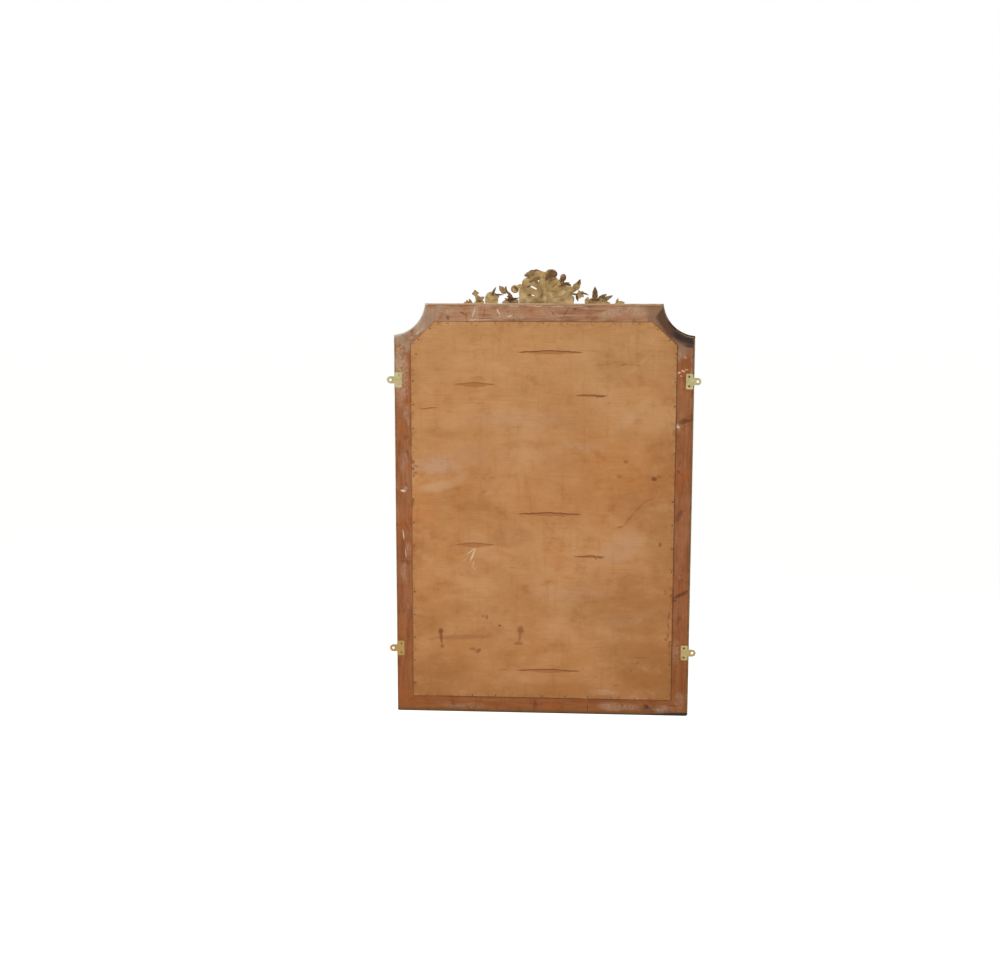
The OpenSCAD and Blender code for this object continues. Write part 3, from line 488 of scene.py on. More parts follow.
DARK_STROKES = [
    (-487, 458, -552, 494, 10, 0.75), (-487, 452, -500, 452, 8, 0.7), (-525, 1128, -505, 1122, 12, 0.5),
    (-549, 1134, -520, 1124, 8, 0.5), (249, 62, 249, 14, 2, 0.75), (-175, 58, -175, 8, 2, 0.75),
    (25, 60, 27, 20, 10, 0.5), (42, 62, 40, 30, 2.4, 0.4), (-410, 32, -393, 43, 11, 1.0),
    (-456, 30, -448, 28, 7, 0.8), (-270, 30, -350, 26, 15, 0.35), (-350, 27, -460, 33, 17, 0.4),
    (-430, 22, -500, 20, 8, 0.5), (214, 1546, 222, 1496, 2, 0.7), (350, 1500, 352, 1508, 9, 0.7),
    (305, 1526, 290, 1516, 5, 0.6), (-66, 1500, -96, 1546, 3.4, 0.5), (-20, 1540, -40, 1512, 2.6, 0.3),
    (-120, 1537, -112, 1536, 5, 0.7), (520, 1060, 500, 1060, 12, 0.3), (532, 1000, 505, 1006, 6, 0.5),
    (512, 890, 508, 850, 8, 0.45), (-508, 985, -504, 960, 7, 0.4), (-500, 944, -506, 936, 5, 0.7),
    (-515, 790, -500, 760, 14, 0.4), (-519, 395, -506, 360, 10, 0.4), (536, 590, 500, 586, 8, 0.3),
    (520, 745, 500, 700, 9, 0.3), (398, 1530, 330, 1500, 4, 0.25), (-552, 380, -552, 180, 5, 0.6),
    (552, 300, 552, 120, 4, 0.6), (-552, 720, -552, 560, 4, 0.5), (515, 1185, 503, 1075, 3, 0.4),
    (505, 1015, 502, 985, 4, 0.5)
]
SOOT_STROKES = [
    (-474, 1452, -520, 1422, 16, 1.0), (-505, 1432, -556, 1414, 14, 1.0), (-455, 1490, -480, 1460, 10, 0.6),
    (-520, 1404, -556, 1400, 8, 0.7), (-442, 1520, -452, 1500, 6, 0.5)
]
PINK_CHIPS = [
    (-497, 1306, 8, 5, 0, 1.0), (-512, 1312, 9, 4, 20, 0.9), (-524, 1316, 8, 3, 0, 0.8),
    (-504, 1293, 5, 4, 0, 0.7), (-520, 1362, 9, 3, 40, 0.7), (-488, 1300, 4, 5, 0, 0.7)
]


def pine_finish(name, along):
    """Stained pine. The grain runs along x or z, and dust and spilt gesso lie over it."""
    wood = Finish(name, roughness=0.7)
    ragged = wood.blurred(48, 0.009, detail=3.0)
    loose = wood.blurred(16, 0.04, detail=4.0)
    if along == "x":
        lengthways, fine = wood.stretched(0.8, 9, 9), wood.stretched(0.05, 1, 1)
    else:
        lengthways, fine = wood.stretched(9, 9, 0.8), wood.stretched(1, 1, 0.05)

    # Red stain with the grain and mottling over it; the colour runs browner towards the bottom and paler and
    # rosier towards the top
    broad = wood.cloud(7.0, detail=5, bend=0.4)
    colour = wood.mix(wood.ease(broad, 0.36, 0.64), seen(144, 89, 55), seen(158, 105, 71))
    low = wood.ease(wood.z, BOTTOM + 0.62, BOTTOM + 0.10)
    colour = wood.lay(colour, low, 0.75, seen(146, 87, 47))
    high = wood.ease(wood.z, TOP - 0.20, TOP - 0.06)
    colour = wood.lay(colour, high, 0.85, seen(174, 134, 104))
    grain = wood.cloud(6.0, lengthways, detail=7, rough=0.62, bend=0.8)
    colour = wood.mix(wood.ease(grain, 0.47, 0.70, high=0.62), colour, seen(118, 68, 40))
    colour = wood.mix(wood.ease(grain, 0.44, 0.28, high=0.40), colour, seen(186, 130, 88))
    fibre = wood.cloud(330.0, fine, detail=3, rough=0.6)
    colour = wood.mix(wood.ease(fibre, 0.42, 0.72, high=0.40), colour, seen(118, 70, 42))
    blotch = wood.cloud(20.0, detail=7, rough=0.7)
    colour = wood.mix(wood.ease(blotch, 0.52, 0.70, high=0.60), colour, seen(112, 66, 42))
    glow = wood.cloud(11.0, detail=5, rough=0.6, bend=0.6)
    colour = wood.mix(wood.ease(glow, 0.50, 0.66, high=0.4), colour, seen(162, 88, 44))

    # Marks
    stains = wood.strokes(ragged, DARK_STROKES, soft=0.85)
    colour = wood.lay(colour, stains, 0.85, seen(68, 42, 30))

    # Dust and spilt gesso: a thin film, rings and threads where it dried, and crumbs
    gesso = wood.ovals(loose, GESSO_PATCHES, soft=0.9)
    colour = wood.mix(wood.all_of(gesso, wood.ease(blotch, 0.66, 0.40), 0.85), colour, seen(173, 142, 116))
    folds = wood.cloud(44.0, detail=5, rough=0.6, bend=1.2)
    threads = wood.ease(wood.math("ABSOLUTE", wood.math("SUBTRACT", folds, 0.5)), 0.035, 0.0)
    colour = wood.mix(wood.all_of(threads, gesso, 0.6), colour, seen(204, 182, 158))
    speck = wood.node("TexVoronoi", {"Vector": wood.here, "Scale": 80.0, "Randomness": 1.0})
    crumbs = wood.all_of(
        wood.ease(speck, 0.24, 0.10), wood.ease(folds, 0.50, 0.62), wood.ease(gesso, 0.0, 0.5, low=0.2)
    )
    colour = wood.lay(colour, crumbs, 0.6, seen(214, 190, 164))
    white = wood.strokes(ragged, WHITE_STROKES)
    colour = wood.mix(white, colour, seen(222, 200, 178))
    chips = wood.ovals(ragged, PINK_CHIPS, soft=0.5)
    colour = wood.mix(chips, colour, seen(226, 164, 138))

    # The scooped corners: dusty grey on one side, sooty brown on the other
    scoop = wood.inside_scoop()
    left_side = wood.ease(wood.x, 0.1, 0.2)
    dust = wood.all_of(wood.ease(scoop, 0.085, 0.03), left_side, wood.ease(blotch, 0.70, 0.42), 0.85)
    dusty = wood.mix(wood.ease(glow, 0.40, 0.60), seen(150, 126, 106), seen(170, 138, 112))
    colour = wood.mix(dust, colour, dusty)
    right_side = wood.ease(wood.x, -0.1, -0.2)
    grey = wood.all_of(wood.ease(scoop, 0.085, 0.055), right_side, 0.75)
    colour = wood.mix(grey, colour, seen(134, 104, 82))
    soot = wood.ease(wood.math("ADD", scoop, wood.math("MULTIPLY", blotch, 0.03)), 0.064, 0.044)
    past_mitre = wood.math("MULTIPLY_ADD", wood.x, 1.29, wood.z)
    soot = wood.all_of(soot, right_side, wood.ease(past_mitre, BOTTOM + 0.990, BOTTOM + 0.974), 0.9)
    colour = wood.mix(soot, colour, seen(84, 58, 46))
    black = wood.strokes(ragged, SOOT_STROKES, soft=0.8)
    colour = wood.lay(colour, black, 0.9, seen(36, 30, 30))
    rubbed = wood.all_of(wood.ease(scoop, 0.013, 0.007), left_side, wood.ease(blotch, 0.66, 0.42), 0.7)
    colour = wood.mix(rubbed, colour, seen(196, 186, 178))

    # Worn outer arris; painted shade on the foot, with a painted shadow line along its lowest edge; and a
    # painted shadow line along the inner edge where the board is let in
    edge = wood.inside_edge()
    outer = wood.all_of(wood.ease(edge, 0.0125, 0.0065), wood.ease(blotch, 0.36, 0.60), 0.75)
    colour = wood.mix(outer, colour, seen(98, 68, 44))
    # Painted shade along the bottom of the frame
    foot_shade = wood.ease(wood.z, BOTTOM + 0.024, BOTTOM + 0.012)
    colour = wood.lay(colour, foot_shade, 0.8, seen(106, 76, 44))
    # A painted shadow line along the lowest edge, darker towards one side
    lowest = wood.math("SUBTRACT", wood.z, wood.ease(wood.x, -0.38, -0.53, high=0.008))
    sole_shadow = wood.all_of(
        wood.ease(lowest, BOTTOM + 0.0115, BOTTOM + 0.0085), wood.ease(wood.x, 0.5, -0.4, low=0.4)
    )
    colour = wood.mix(sole_shadow, colour, seen(40, 28, 22))
    # A painted shadow line where the board is let in
    inner_shadow_line = wood.all_of(
        wood.ease(wood.math("MULTIPLY", wood.inside_board(), -1.0), 0.0030, 0.0008),
        wood.ease(wood.x, 0.36, 0.46, 1.0, 0.4), wood.ease(wood.z, TOP - 0.16, TOP - 0.09, 1.0, 0.45)
    )
    colour = wood.lay(colour, inner_shadow_line, 0.6, seen(84, 50, 34))

    # The outer sides kept the gilder's ochre size and splashes of gesso
    sideways = wood.ease(wood.math("ABSOLUTE", wood.facing("y")), 0.6, 0.4)
    side = wood.mix(wood.ease(blotch, 0.4, 0.62), (0.34, 0.21, 0.10, 1), (0.56, 0.43, 0.27, 1))
    colour = wood.lay(colour, sideways, 0.8, side)

    wood.colour(colour)
    wood.gloss(wood.ease(blotch, 0.3, 0.8, low=0.6, high=0.85))
    wood.relief(wood.math("ADD", grain, wood.math("MULTIPLY", fibre, 0.5)), 0.0010, 0.4)
    return wood.material


def pale_wood_finish():
    """Clean softwood of the hidden blocks, tongues and dowels."""
    wood = Finish("pale_wood", roughness=0.7)
    grain = wood.cloud(8.0, wood.stretched(1, 6, 6), detail=5, bend=1.0)
    colour = wood.mix(wood.ease(grain, 0.42, 0.68), (0.60, 0.42, 0.22, 1), (0.42, 0.26, 0.12, 1))
    wood.colour(colour)
    wood.relief(grain, 0.0005, 0.3)
    return wood.material


def iron_finish():
    """Blued iron of the tacks, with rust. Some are so full of dirt that they hardly show."""
    iron = Finish("rusty_iron", roughness=0.6, metallic=0.6)
    rust = iron.cloud(260.0, detail=4, rough=0.7)
    colour = iron.mix(iron.ease(rust, 0.42, 0.6), (0.120, 0.066, 0.036, 1), (0.200, 0.096, 0.044, 1))
    filled = iron.ease(iron.cloud(14.0, detail=2), 0.48, 0.54, high=0.7)
    dusty = iron.ease(iron.z, TOP - 0.12, TOP - 0.08, high=0.6)
    iron.colour(iron.mix(iron.any_of(filled, dusty), colour, (0.40, 0.22, 0.10, 1)))
    iron.gloss(iron.ease(rust, 0.4, 0.6, low=0.45, high=0.8))
    iron.relief(rust, 0.0003, 0.5)
    return iron.material


def brass_finish():
    """Pale lacquered brass with handling marks, yellower on the lower plates."""
    brass = Finish("pale_brass", roughness=0.4, metallic=0.55)
    tone = brass.cloud(42.0, detail=5, rough=0.65)
    scratch = brass.cloud(300.0, brass.stretched(0.2, 1, 1.4), detail=3)
    colour = brass.mix(brass.ease(tone, 0.36, 0.66), (0.60, 0.52, 0.27, 1), (0.44, 0.36, 0.16, 1))
    colour = brass.mix(brass.ease(scratch, 0.55, 0.8, high=0.4), colour, (0.30, 0.22, 0.09, 1))
    spots = brass.cloud(150.0, detail=3, rough=0.8)
    colour = brass.mix(brass.ease(spots, 0.62, 0.72, high=0.6), colour, (0.16, 0.10, 0.04, 1))
    low = brass.ease(brass.z, -0.3, -0.5)
    left = brass.ease(brass.x, -0.2, 0.2, low=0.45, high=0.85)
    colour = brass.mix(brass.math("MULTIPLY", low, left), colour, (0.42, 0.235, 0.055, 1))
    brass.colour(colour)
    brass.gloss(brass.ease(tone, 0.3, 0.7, low=0.32, high=0.52))
    brass.relief(scratch, 0.0002, 0.3)
    return brass.material


def screw_finish():
    """Brass screw heads: the two at the upper right plate are bright; the others are painted dark brown, as
    painted shade in their countersunk holes.
    """
    brass = Finish("screw_brass", roughness=0.35, metallic=0.7)
    tone = brass.cloud(160.0, detail=4)
    colour = brass.mix(brass.ease(tone, 0.4, 0.62), (0.66, 0.60, 0.40, 1), (0.40, 0.32, 0.16, 1))
    bright = brass.all_of(brass.ease(brass.x, -0.1, 0.1), brass.ease(brass.z, -0.1, 0.1))
    # Painted shade: the screws sit in countersunk holes
    countersink_shade = brass.mix(brass.ease(brass.x, -0.1, 0.1), (0.115, 0.075, 0.036, 1), (0.22, 0.125, 0.045, 1))
    brass.colour(brass.mix(bright, countersink_shade, colour))
    brass.gloss(brass.ease(tone, 0.3, 0.7, low=0.28, high=0.5))
    return brass.material


def glass_finish():
    """Old silvered glass: a soft cast, and foxing that creeps in from the edges."""
    glass = Finish("old_mirror", roughness=0.03, metallic=1.0)
    edge = glass.inside_edge()
    spots = glass.cloud(55.0, detail=7, rough=0.75)
    fine = glass.cloud(210.0, detail=4, rough=0.7)
    near_edge = glass.ease(edge, 0.30, 0.095)
    reach = glass.math("ADD", glass.math("MULTIPLY", near_edge, 0.10), spots)
    foxing = glass.ease(reach, 0.66, 0.74)
    freckles = glass.all_of(glass.ease(fine, 0.68, 0.74), glass.ease(edge, 0.45, 0.1))
    worn = glass.any_of(foxing, freckles)
    cast = glass.cloud(3.0, detail=3)
    silver = glass.mix(glass.ease(cast, 0.35, 0.65), (0.80, 0.82, 0.81, 1), (0.77, 0.79, 0.78, 1))
    colour = glass.lay(silver, worn, 0.75, (0.16, 0.13, 0.09, 1))
    glass.colour(colour)
    glass.gloss(glass.ease(worn, 0.0, 1.0, low=0.025, high=0.42))
    return glass.material


def gold_tones(gold):
    """Water gilding: leaf over red bole, with overlapping squares of leaf and old dirt."""
    tone = gold.cloud(18.0, detail=6, rough=0.62)
    colour = gold.mix(gold.ease(tone, 0.36, 0.66), (0.68, 0.41, 0.13, 1), (0.44, 0.245, 0.068, 1))
    pale = gold.cloud(7.0, detail=3)
    colour = gold.mix(gold.ease(pale, 0.5, 0.72, high=0.35), colour, (0.78, 0.56, 0.25, 1))
    rubbed = gold.cloud(46.0, detail=7, rough=0.74)
    return colour, tone, rubbed


def gilding_finish():
    """The gilded mouldings: rubbed to the bole on the high parts, dark with dirt and painted shade in the
    hollows, bare at the back.
    """
    gold = Finish("old_gilding", roughness=0.38, metallic=0.75)
    colour, tone, rubbed = gold_tones(gold)
    edge = gold.inside_edge()
    high = gold.ease(gold.y, -30 * MM, -66 * MM)
    bole = gold.ease(gold.math("ADD", rubbed, gold.math("MULTIPLY", high, 0.05)), 0.66, 0.74)
    colour = gold.lay(colour, bole, 0.8, (0.26, 0.070, 0.030, 1))
    # Dirt and painted shade in the hollows of the profile
    coves = [(11, 4), (25.5, 4.5), (48, 4), (76, 5), (88, 2.5), (96, 2.5)]
    for middle, reach in coves:
        off = gold.math("ABSOLUTE", gold.math("SUBTRACT", edge, middle * MM))
        dirt_and_shade = gold.all_of(gold.ease(off, reach * MM, 0.0), gold.ease(tone, 0.3, 0.6), 0.65)
        colour = gold.mix(dirt_and_shade, colour, (0.115, 0.062, 0.022, 1))

    # Behind, the wood was only brushed with ochre, and the gesso shows at the arris
    behind = gold.ease(gold.facing("y"), 0.5, 0.8)
    bare = gold.mix(gold.ease(rubbed, 0.40, 0.62), (0.52, 0.42, 0.23, 1), (0.36, 0.25, 0.11, 1))
    bare = gold.mix(gold.ease(tone, 0.5, 0.7, high=0.7), bare, (0.15, 0.075, 0.030, 1))
    dusty = gold.ease(gold.z, TOP - 0.016, TOP - 0.010)
    bare = gold.lay(bare, dusty, 0.85, seen(180, 140, 108))
    arris = gold.all_of(gold.ease(gold.z, TOP - 0.0035, TOP - 0.001), gold.ease(tone, 0.36, 0.56))
    bare = gold.mix(arris, bare, seen(212, 196, 174))
    scoop = gold.ease(gold.inside_scoop(), 0.014, 0.008)
    chalky = gold.all_of(scoop, gold.ease(gold.x, 0.1, 0.2), 0.85)
    bare = gold.mix(chalky, bare, seen(206, 192, 180))
    right_scoop = gold.all_of(scoop, gold.ease(gold.x, -0.1, -0.2), 0.9)
    aged = gold.mix(gold.ease(gold.x, -0.452, -0.462), seen(150, 138, 122), seen(56, 44, 40))
    bare = gold.mix(right_scoop, bare, aged)
    # Painted shade along the foot of the moulding's back
    foot_shade = gold.ease(gold.z, BOTTOM + 0.012, BOTTOM + 0.006)
    bare = gold.lay(bare, foot_shade, 0.85, seen(66, 44, 28))
    gold.colour(gold.mix(behind, colour, bare))
    gold.metal(behind, 0.75)
    leaf_gloss = gold.ease(rubbed, 0.4, 0.75, low=0.30, high=0.55)
    gold.gloss(gold.any_of(leaf_gloss, gold.math("MULTIPLY", behind, 0.8)))
    gold.relief(rubbed, 0.0005, 0.4)
    return gold.material


# Dark places on the back of the crest: x, height, half length, half width, turn and strength
CREST_SHADOWS = [
    (56, 1618, 11, 5, -25, 1.0), (54, 1586, 12, 4.5, 0, 1.0), (44, 1636, 16, 5, -20, 0.8),
    (28, 1632, 10, 5, 40, 0.7), (-24, 1640, 22, 5, -60, 0.7), (-40, 1624, 22, 4, -40, 0.7),
    (-62, 1620, 20, 5, -20, 0.8), (-30, 1600, 26, 4, 8, 0.5), (20, 1572, 34, 12, -30, 0.4),
    (8, 1590, 8, 40, 0, 0.45), (-66, 1570, 14, 14, 0, 0.3), (72, 1568, 14, 12, 0, 0.35),
    (-20, 1575, 12, 18, 0, 0.3), (-97, 1610, 20, 6, 20, 0.4), (-230, 1562, 34, 6, 0, 0.5),
    (-190, 1566, 30, 7, 0, 0.6), (20, 1560, 40, 6, 0, 0.5), (-112, 1575, 8, 26, 0, 0.5),
    (124, 1572, 30, 9, 0, 0.7), (236, 1563, 24, 7, 0, 0.5), (60, 1650, 22, 5, 20, 0.8),
    (-55, 1580, 26, 4, -20, 0.4), (-80, 1590, 20, 4, -50, 0.4), (0, 1650, 14, 4, 0, 0.5)
]


def crest_tones(name):
    """The crest's colours: gilding for the front, and ochre for behind, browned by stain and by painted shade
    in every hollow.
    """
    gold = Finish(name, roughness=0.42, metallic=0.7)
    colour, tone, rubbed = gold_tones(gold)
    hollow = gold.node("Attribute", {}, out=2, attribute_name="hollow")
    stain = gold.node("Attribute", {}, out=2, attribute_name="stain")
    bole = gold.all_of(gold.ease(rubbed, 0.60, 0.70), gold.ease(hollow, 0.5, 0.1))
    colour = gold.lay(colour, bole, 0.8, (0.27, 0.075, 0.032, 1))
    # Dirt and painted shade in the hollows of the gilding
    dirt_and_shade = gold.ease(gold.math("ADD", hollow, gold.math("MULTIPLY", tone, 0.4)), 0.55, 1.1, high=0.9)
    colour = gold.mix(dirt_and_shade, colour, (0.100, 0.052, 0.018, 1))

    ragged = gold.blurred(60, 0.012, detail=3.0)
    ochre = gold.mix(gold.ease(tone, 0.38, 0.62), seen(204, 177, 130), seen(174, 145, 95))
    ochre = gold.mix(gold.ease(rubbed, 0.52, 0.66, high=0.7), ochre, seen(124, 92, 56))
    shadows = gold.ovals(ragged, CREST_SHADOWS, soft=0.9)
    ochre = gold.lay(ochre, shadows, 0.85, seen(88, 60, 38))
    # The carving's red-brown stain, and painted shade in the hollows of the ochre
    stain_and_shade = gold.math("ADD", stain, gold.math("MULTIPLY", hollow, 0.6), clamp=True)
    red_brown = gold.mix(gold.ease(tone, 0.4, 0.6), seen(76, 54, 42), seen(110, 80, 60))
    ochre = gold.mix(stain_and_shade, ochre, red_brown)
    return gold, colour, ochre, rubbed


def crest_finish(name):
    """The carving, ochre on all that turns away from the front."""
    gold, colour, ochre, rubbed = crest_tones(name)
    behind = gold.ease(gold.facing("y"), -0.35, 0.25)
    gold.colour(gold.mix(behind, colour, ochre))
    gold.metal(behind, 0.7)
    leaf_gloss = gold.ease(rubbed, 0.4, 0.75, low=0.34, high=0.6)
    gold.gloss(gold.any_of(leaf_gloss, gold.math("MULTIPLY", behind, 0.82)))
    gold.relief(rubbed, 0.0008, 0.5)
    return gold.material


def pearl_finish():
    """Gilding on the strings of pearls, burnished on top and dark with dirt and painted shade between them.
    """
    gold = Finish("gilded_pearls", roughness=0.3, metallic=0.8)
    colour, _, rubbed = gold_tones(gold)
    # Darker towards the slip: dirt and painted shade where the pearls sit
    low = gold.ease(gold.y, -52 * MM, -47 * MM)
    colour = gold.lay(colour, low, 0.7, (0.11, 0.055, 0.02, 1))
    gold.colour(colour)
    gold.gloss(gold.ease(rubbed, 0.4, 0.7, low=0.25, high=0.45))
    return gold.material


FINISHES = {
    "board": board_finish(),
    "upright_pine": pine_finish("upright_pine", "z"),
    "level_pine": pine_finish("level_pine", "x"),
    "pale_wood": pale_wood_finish(),
    "iron": iron_finish(),
    "brass": brass_finish(),
    "screws": screw_finish(),
    "glass": glass_finish(),
    "gilding": gilding_finish(),
    "leaf": crest_finish("carved_leaf"),
    "cartouche": crest_finish("carved_cartouche"),
    "pearls": pearl_finish(),
}

NODE_FINISHES = {
    "stile": "upright_pine", "corner_block": "upright_pine", "top_rail": "level_pine",
    "bottom_rail": "level_pine", "frame_tongues": "pale_wood", "glass_blocks": "pale_wood",
    "crest_dowels": "pale_wood", "crest_rail": "cartouche", "back_board": "board", "board_tacks": "iron",
    "hanger_plate": "brass", "hanger_screws": "screws", "mirror_glass": "glass", "moulding": "gilding",
    "slip": "gilding"
}


def dress_frame():
    """Gives each piece of the frame its finish."""
    for node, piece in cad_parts.items():
        for start, finish in NODE_FINISHES.items():
            if node.startswith(start):
                piece.data.materials.clear()
                piece.data.materials.append(FINISHES[finish])


# Carving. Places on the crest are x and height above the top edge, in mm, and depths count from the wall.
# How thick every carved sheet is
WALL = 3.0
# How far the carving spreads past the line that each rule gives
SPREAD = 0.7


def connected(verts):
    """These verts and all that edges join to them."""
    found = set(verts)
    waiting = list(verts)
    while waiting:
        vert = waiting.pop()
        for other in [edge.other_vert(vert) for edge in vert.link_edges]:
            if other not in found:
                found.add(other)
                waiting.append(other)
    return list(found)


class Carving:
    """A carved piece in the making: sheets that stand on a seat, given a wall at the end."""

    def __init__(self, seat=CARTOUCHE_FACE):
        self.seat = seat
        self.shape = bmesh.new()
        # How far each point lies in a hollow, which the finishes darken with dirt and painted shade; and the
        # carving's red-brown stain
        self.hollow = self.shape.verts.layers.float.new("hollow")
        self.stain = self.shape.verts.layers.float.new("stain")

    def place(self, vert, x, height, depth, hollow=0.0, stain=0.0):
        vert.co = Vector((x * MM, -min(depth, FRONT - 0.3) * MM, TOP + min(height, CREST_HIGH) * MM))
        vert[self.hollow] = hollow
        vert[self.stain] = stain

    def face_out(self, verts, way):
        """Turns a sheet's faces towards the viewer in front, or where way is -1 towards the wall."""
        faces = list({face for vert in verts for face in vert.link_faces})
        for face in faces:
            face.normal_update()
        if way * sum(face.normal.y * face.calc_area() for face in faces) > 0:
            bmesh.ops.reverse_faces(self.shape, faces=faces)

    def leaf(self, at, heading, length, width, bend=0, rise=9, seat=None, curl=0, stalk=0.2,
             lobes=3, stain=0.0, tip_stain=0.0, way=1):
        """One leaf along a midrib that turns steadily, carved to the front, or to the wall with way -1.

        Heading and bend are in degrees. Stalk is the share of the width at its foot, and curl lifts its tip.
        """
        seat = self.seat if seat is None else seat
        grid = bmesh.ops.create_grid(self.shape, x_segments=8 * max(lobes, 2) + 4, y_segments=12, size=1)
        turn = bend if abs(bend) >= 1 else 1
        radius = length / math.radians(turn)
        start = math.radians(heading)
        for vert in grid["verts"]:
            s, v = (vert.co.x + 1) / 2, vert.co.y
            angle = math.radians(heading + turn * s)
            middle = (
                at[0] + radius * (math.sin(angle) - math.sin(start)),
                at[1] + radius * (math.cos(start) - math.cos(angle))
            )
            swell = math.sin(math.pi * (0.02 + 0.96 * s) ** 0.8)
            beat = abs(math.sin(math.pi * lobes * (s + 0.02)))
            notch = 1 - 0.26 * (1 - beat ** 0.6) * swell if lobes > 1 else 1
            half = width / 2 * max(swell * notch, stalk * (1 - s), 0.08) + SPREAD
            top = rise * max(0.3 + 0.7 * swell, 0.2) * (1 - 0.5 * s) - WALL
            groove = math.exp(-(v / 0.16) ** 2)
            flute = math.cos(2 * math.pi * (lobes * s - 0.9 * abs(v)) + math.pi)
            arch = math.sqrt(max(1 - v ** 4, 0)) * (1 - 0.30 * groove) + 0.10 * flute * (1 - v * v) * swell
            side = half * v
            x = middle[0] - side * math.sin(angle)
            height = middle[1] + side * math.cos(angle)
            depth = seat + way * (WALL + curl * s * s + max(top, 1.0) * arch)
            hollow = min(1.0, 0.75 * groove * (1 - s) + 0.5 * max(-flute, 0) * swell + 0.5 * abs(v) ** 6)
            self.place(vert, x, height, depth, hollow, max(stain, tip_stain * s))
        self.face_out(grid["verts"], way)

    def back_leaf(self, at, heading, length, width, bend=0, seat=STRIP_BACK, **shape):
        """A leaf that curls over to the side of the wall."""
        self.leaf(at, heading, length, width, bend, seat=seat, way=-1, **shape)

    def boss(self, at, reach, rise, seat=None, around=64, rings=10, hollow=None, stain=0.0, way=1):
        """A round boss: one rule gives its outline, another its height over the seat."""
        seat = self.seat if seat is None else seat
        spokes = [self.shape.verts.new((i / rings, 0, 0)) for i in range(rings + 1)]
        edges = [self.shape.edges.new(pair) for pair in zip(spokes, spokes[1:])]
        bmesh.ops.spin(
            self.shape, geom=spokes + edges, cent=(0, 0, 0), axis=(0, 1, 0), angle=2 * math.pi,
            steps=around, use_merge=True, use_duplicate=False
        )
        verts = connected(spokes)
        bmesh.ops.remove_doubles(self.shape, verts=verts, dist=0.0001)
        verts = [vert for vert in verts if vert.is_valid]
        for vert in verts:
            s = min(math.hypot(vert.co.x, vert.co.z), 1.0)
            angle = math.degrees(math.atan2(vert.co.z, vert.co.x)) % 360
            far = s * (reach(angle) + SPREAD)
            x = at[0] + far * math.cos(math.radians(angle))
            height = at[1] + far * math.sin(math.radians(angle))
            dirt_and_shade = hollow(angle, s) if hollow else 0.5 * s ** 6
            self.place(vert, x, height, seat + way * rise(angle, s), dirt_and_shade, stain)
        self.face_out(verts, way)

    def finish(self, name, nodes, finish="leaf", slot="crest_carving", wall=WALL, smooth=1):
        """Makes the carving a piece of the part that stands for its nodes."""
        piece = make_piece(name, self.shape, finish)
        if wall:
            solid = piece.modifiers.new("wall", "SOLIDIFY")
            solid.thickness = wall * MM
            solid.offset = -1
        if smooth:
            soft = piece.modifiers.new("smooth", "SUBSURF")
            soft.levels = smooth
            soft.render_levels = smooth
        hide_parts(*nodes)


def make_piece(name, shape, finish):
    """Turns a bmesh into a piece that rides on the frame."""
    mesh = mesh_from(name, shape, FINISHES[finish])
    mesh.polygons.foreach_set("use_smooth", [True] * len(mesh.polygons))
    piece = add_object(name, mesh)
    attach(piece, "root")
    return piece


def sine(angle):
    return math.sin(math.radians(angle))


def cosine(angle):
    return math.cos(math.radians(angle))


def scallop(count):
    """Ribs of a shell, from 0 in the furrows to 1: a rule for its edge or its surface."""
    return lambda angle: abs(sine(count * angle))


def dome(s, flat=1.0):
    """The rise of a round top, 1 in the middle."""
    return math.sqrt(max(1 - flat * s * s, 0))


def carve_shell():
    """The ribbed shell in the middle of the front."""
    carving = Carving()
    ribs = scallop(5)
    carving.boss(
        (-8, 4),
        lambda a: 37 + 7 * sine(a) + (2.5 * ribs(a) if a < 180 else 0),
        lambda a, s: (
            WALL + 1 + 10 * (1 - s * s) + (3 * s * ribs(a) if a < 180 else 1.2 * s * abs(cosine(6 * a)))
        ),
        around=120,
        hollow=lambda a, s: min(1.0, (1 - ribs(a)) ** 2 * s + 0.5 * s ** 8)
    )
    carving.boss((-8, -8), lambda a: 9, lambda a, s: 12 + 2 * dome(s), around=32, rings=6)
    carving.finish("carved_shell", ["crest_shell"])


def carve_pendant():
    """Three leaves that hang from the shell."""
    carving = Carving()
    carving.leaf((-6, -42), -90, 34, 30, rise=9, lobes=3)
    carving.leaf((4, -38), -40, 34, 18, -30, rise=7)
    carving.leaf((-16, -38), -140, 34, 18, 30, rise=7)
    carving.finish("carved_pendant", ["crest_pendant_leaf"])


def curled(turns):
    """The dirt in the groove of a spiral."""
    return lambda a, s: 0.5 + 0.5 * math.cos(turns * s + math.radians(a) + math.pi)


def carve_crown():
    """The crown curls over to the back, where its dark inner side shows."""
    carving = Carving()
    carving.boss(
        (-25, 103),
        lambda a: 20 + 2.5 * cosine(2 * a - 110),
        lambda a, s: WALL + 1 + 7 * (1 - 0.6 * s * s) + 2.2 * math.cos(5.5 * s + math.radians(a)),
        hollow=curled(5.5), stain=0.2
    )
    carving.leaf((-14, 62), 96, 34, 24, 20, rise=9)
    carving.boss(
        (-33, 110),
        lambda a: 15 + 2 * cosine(2 * a - 60),
        lambda a, s: WALL + 2 + 4 * (1 - s * s) + 1.6 * math.cos(6 * s + math.radians(a)),
        seat=STRIP_BACK, around=48, hollow=curled(6), stain=0.75, way=-1
    )
    carving.back_leaf((-22, 112), -64, 34, 15, 16, rise=6, stalk=0.9, lobes=2, stain=0.8)
    carving.back_leaf((-44, 98), -20, 24, 12, -30, rise=5, lobes=1, stain=0.3, tip_stain=0.8)
    carving.finish("carved_crown", ["crest_crown_leaf"])


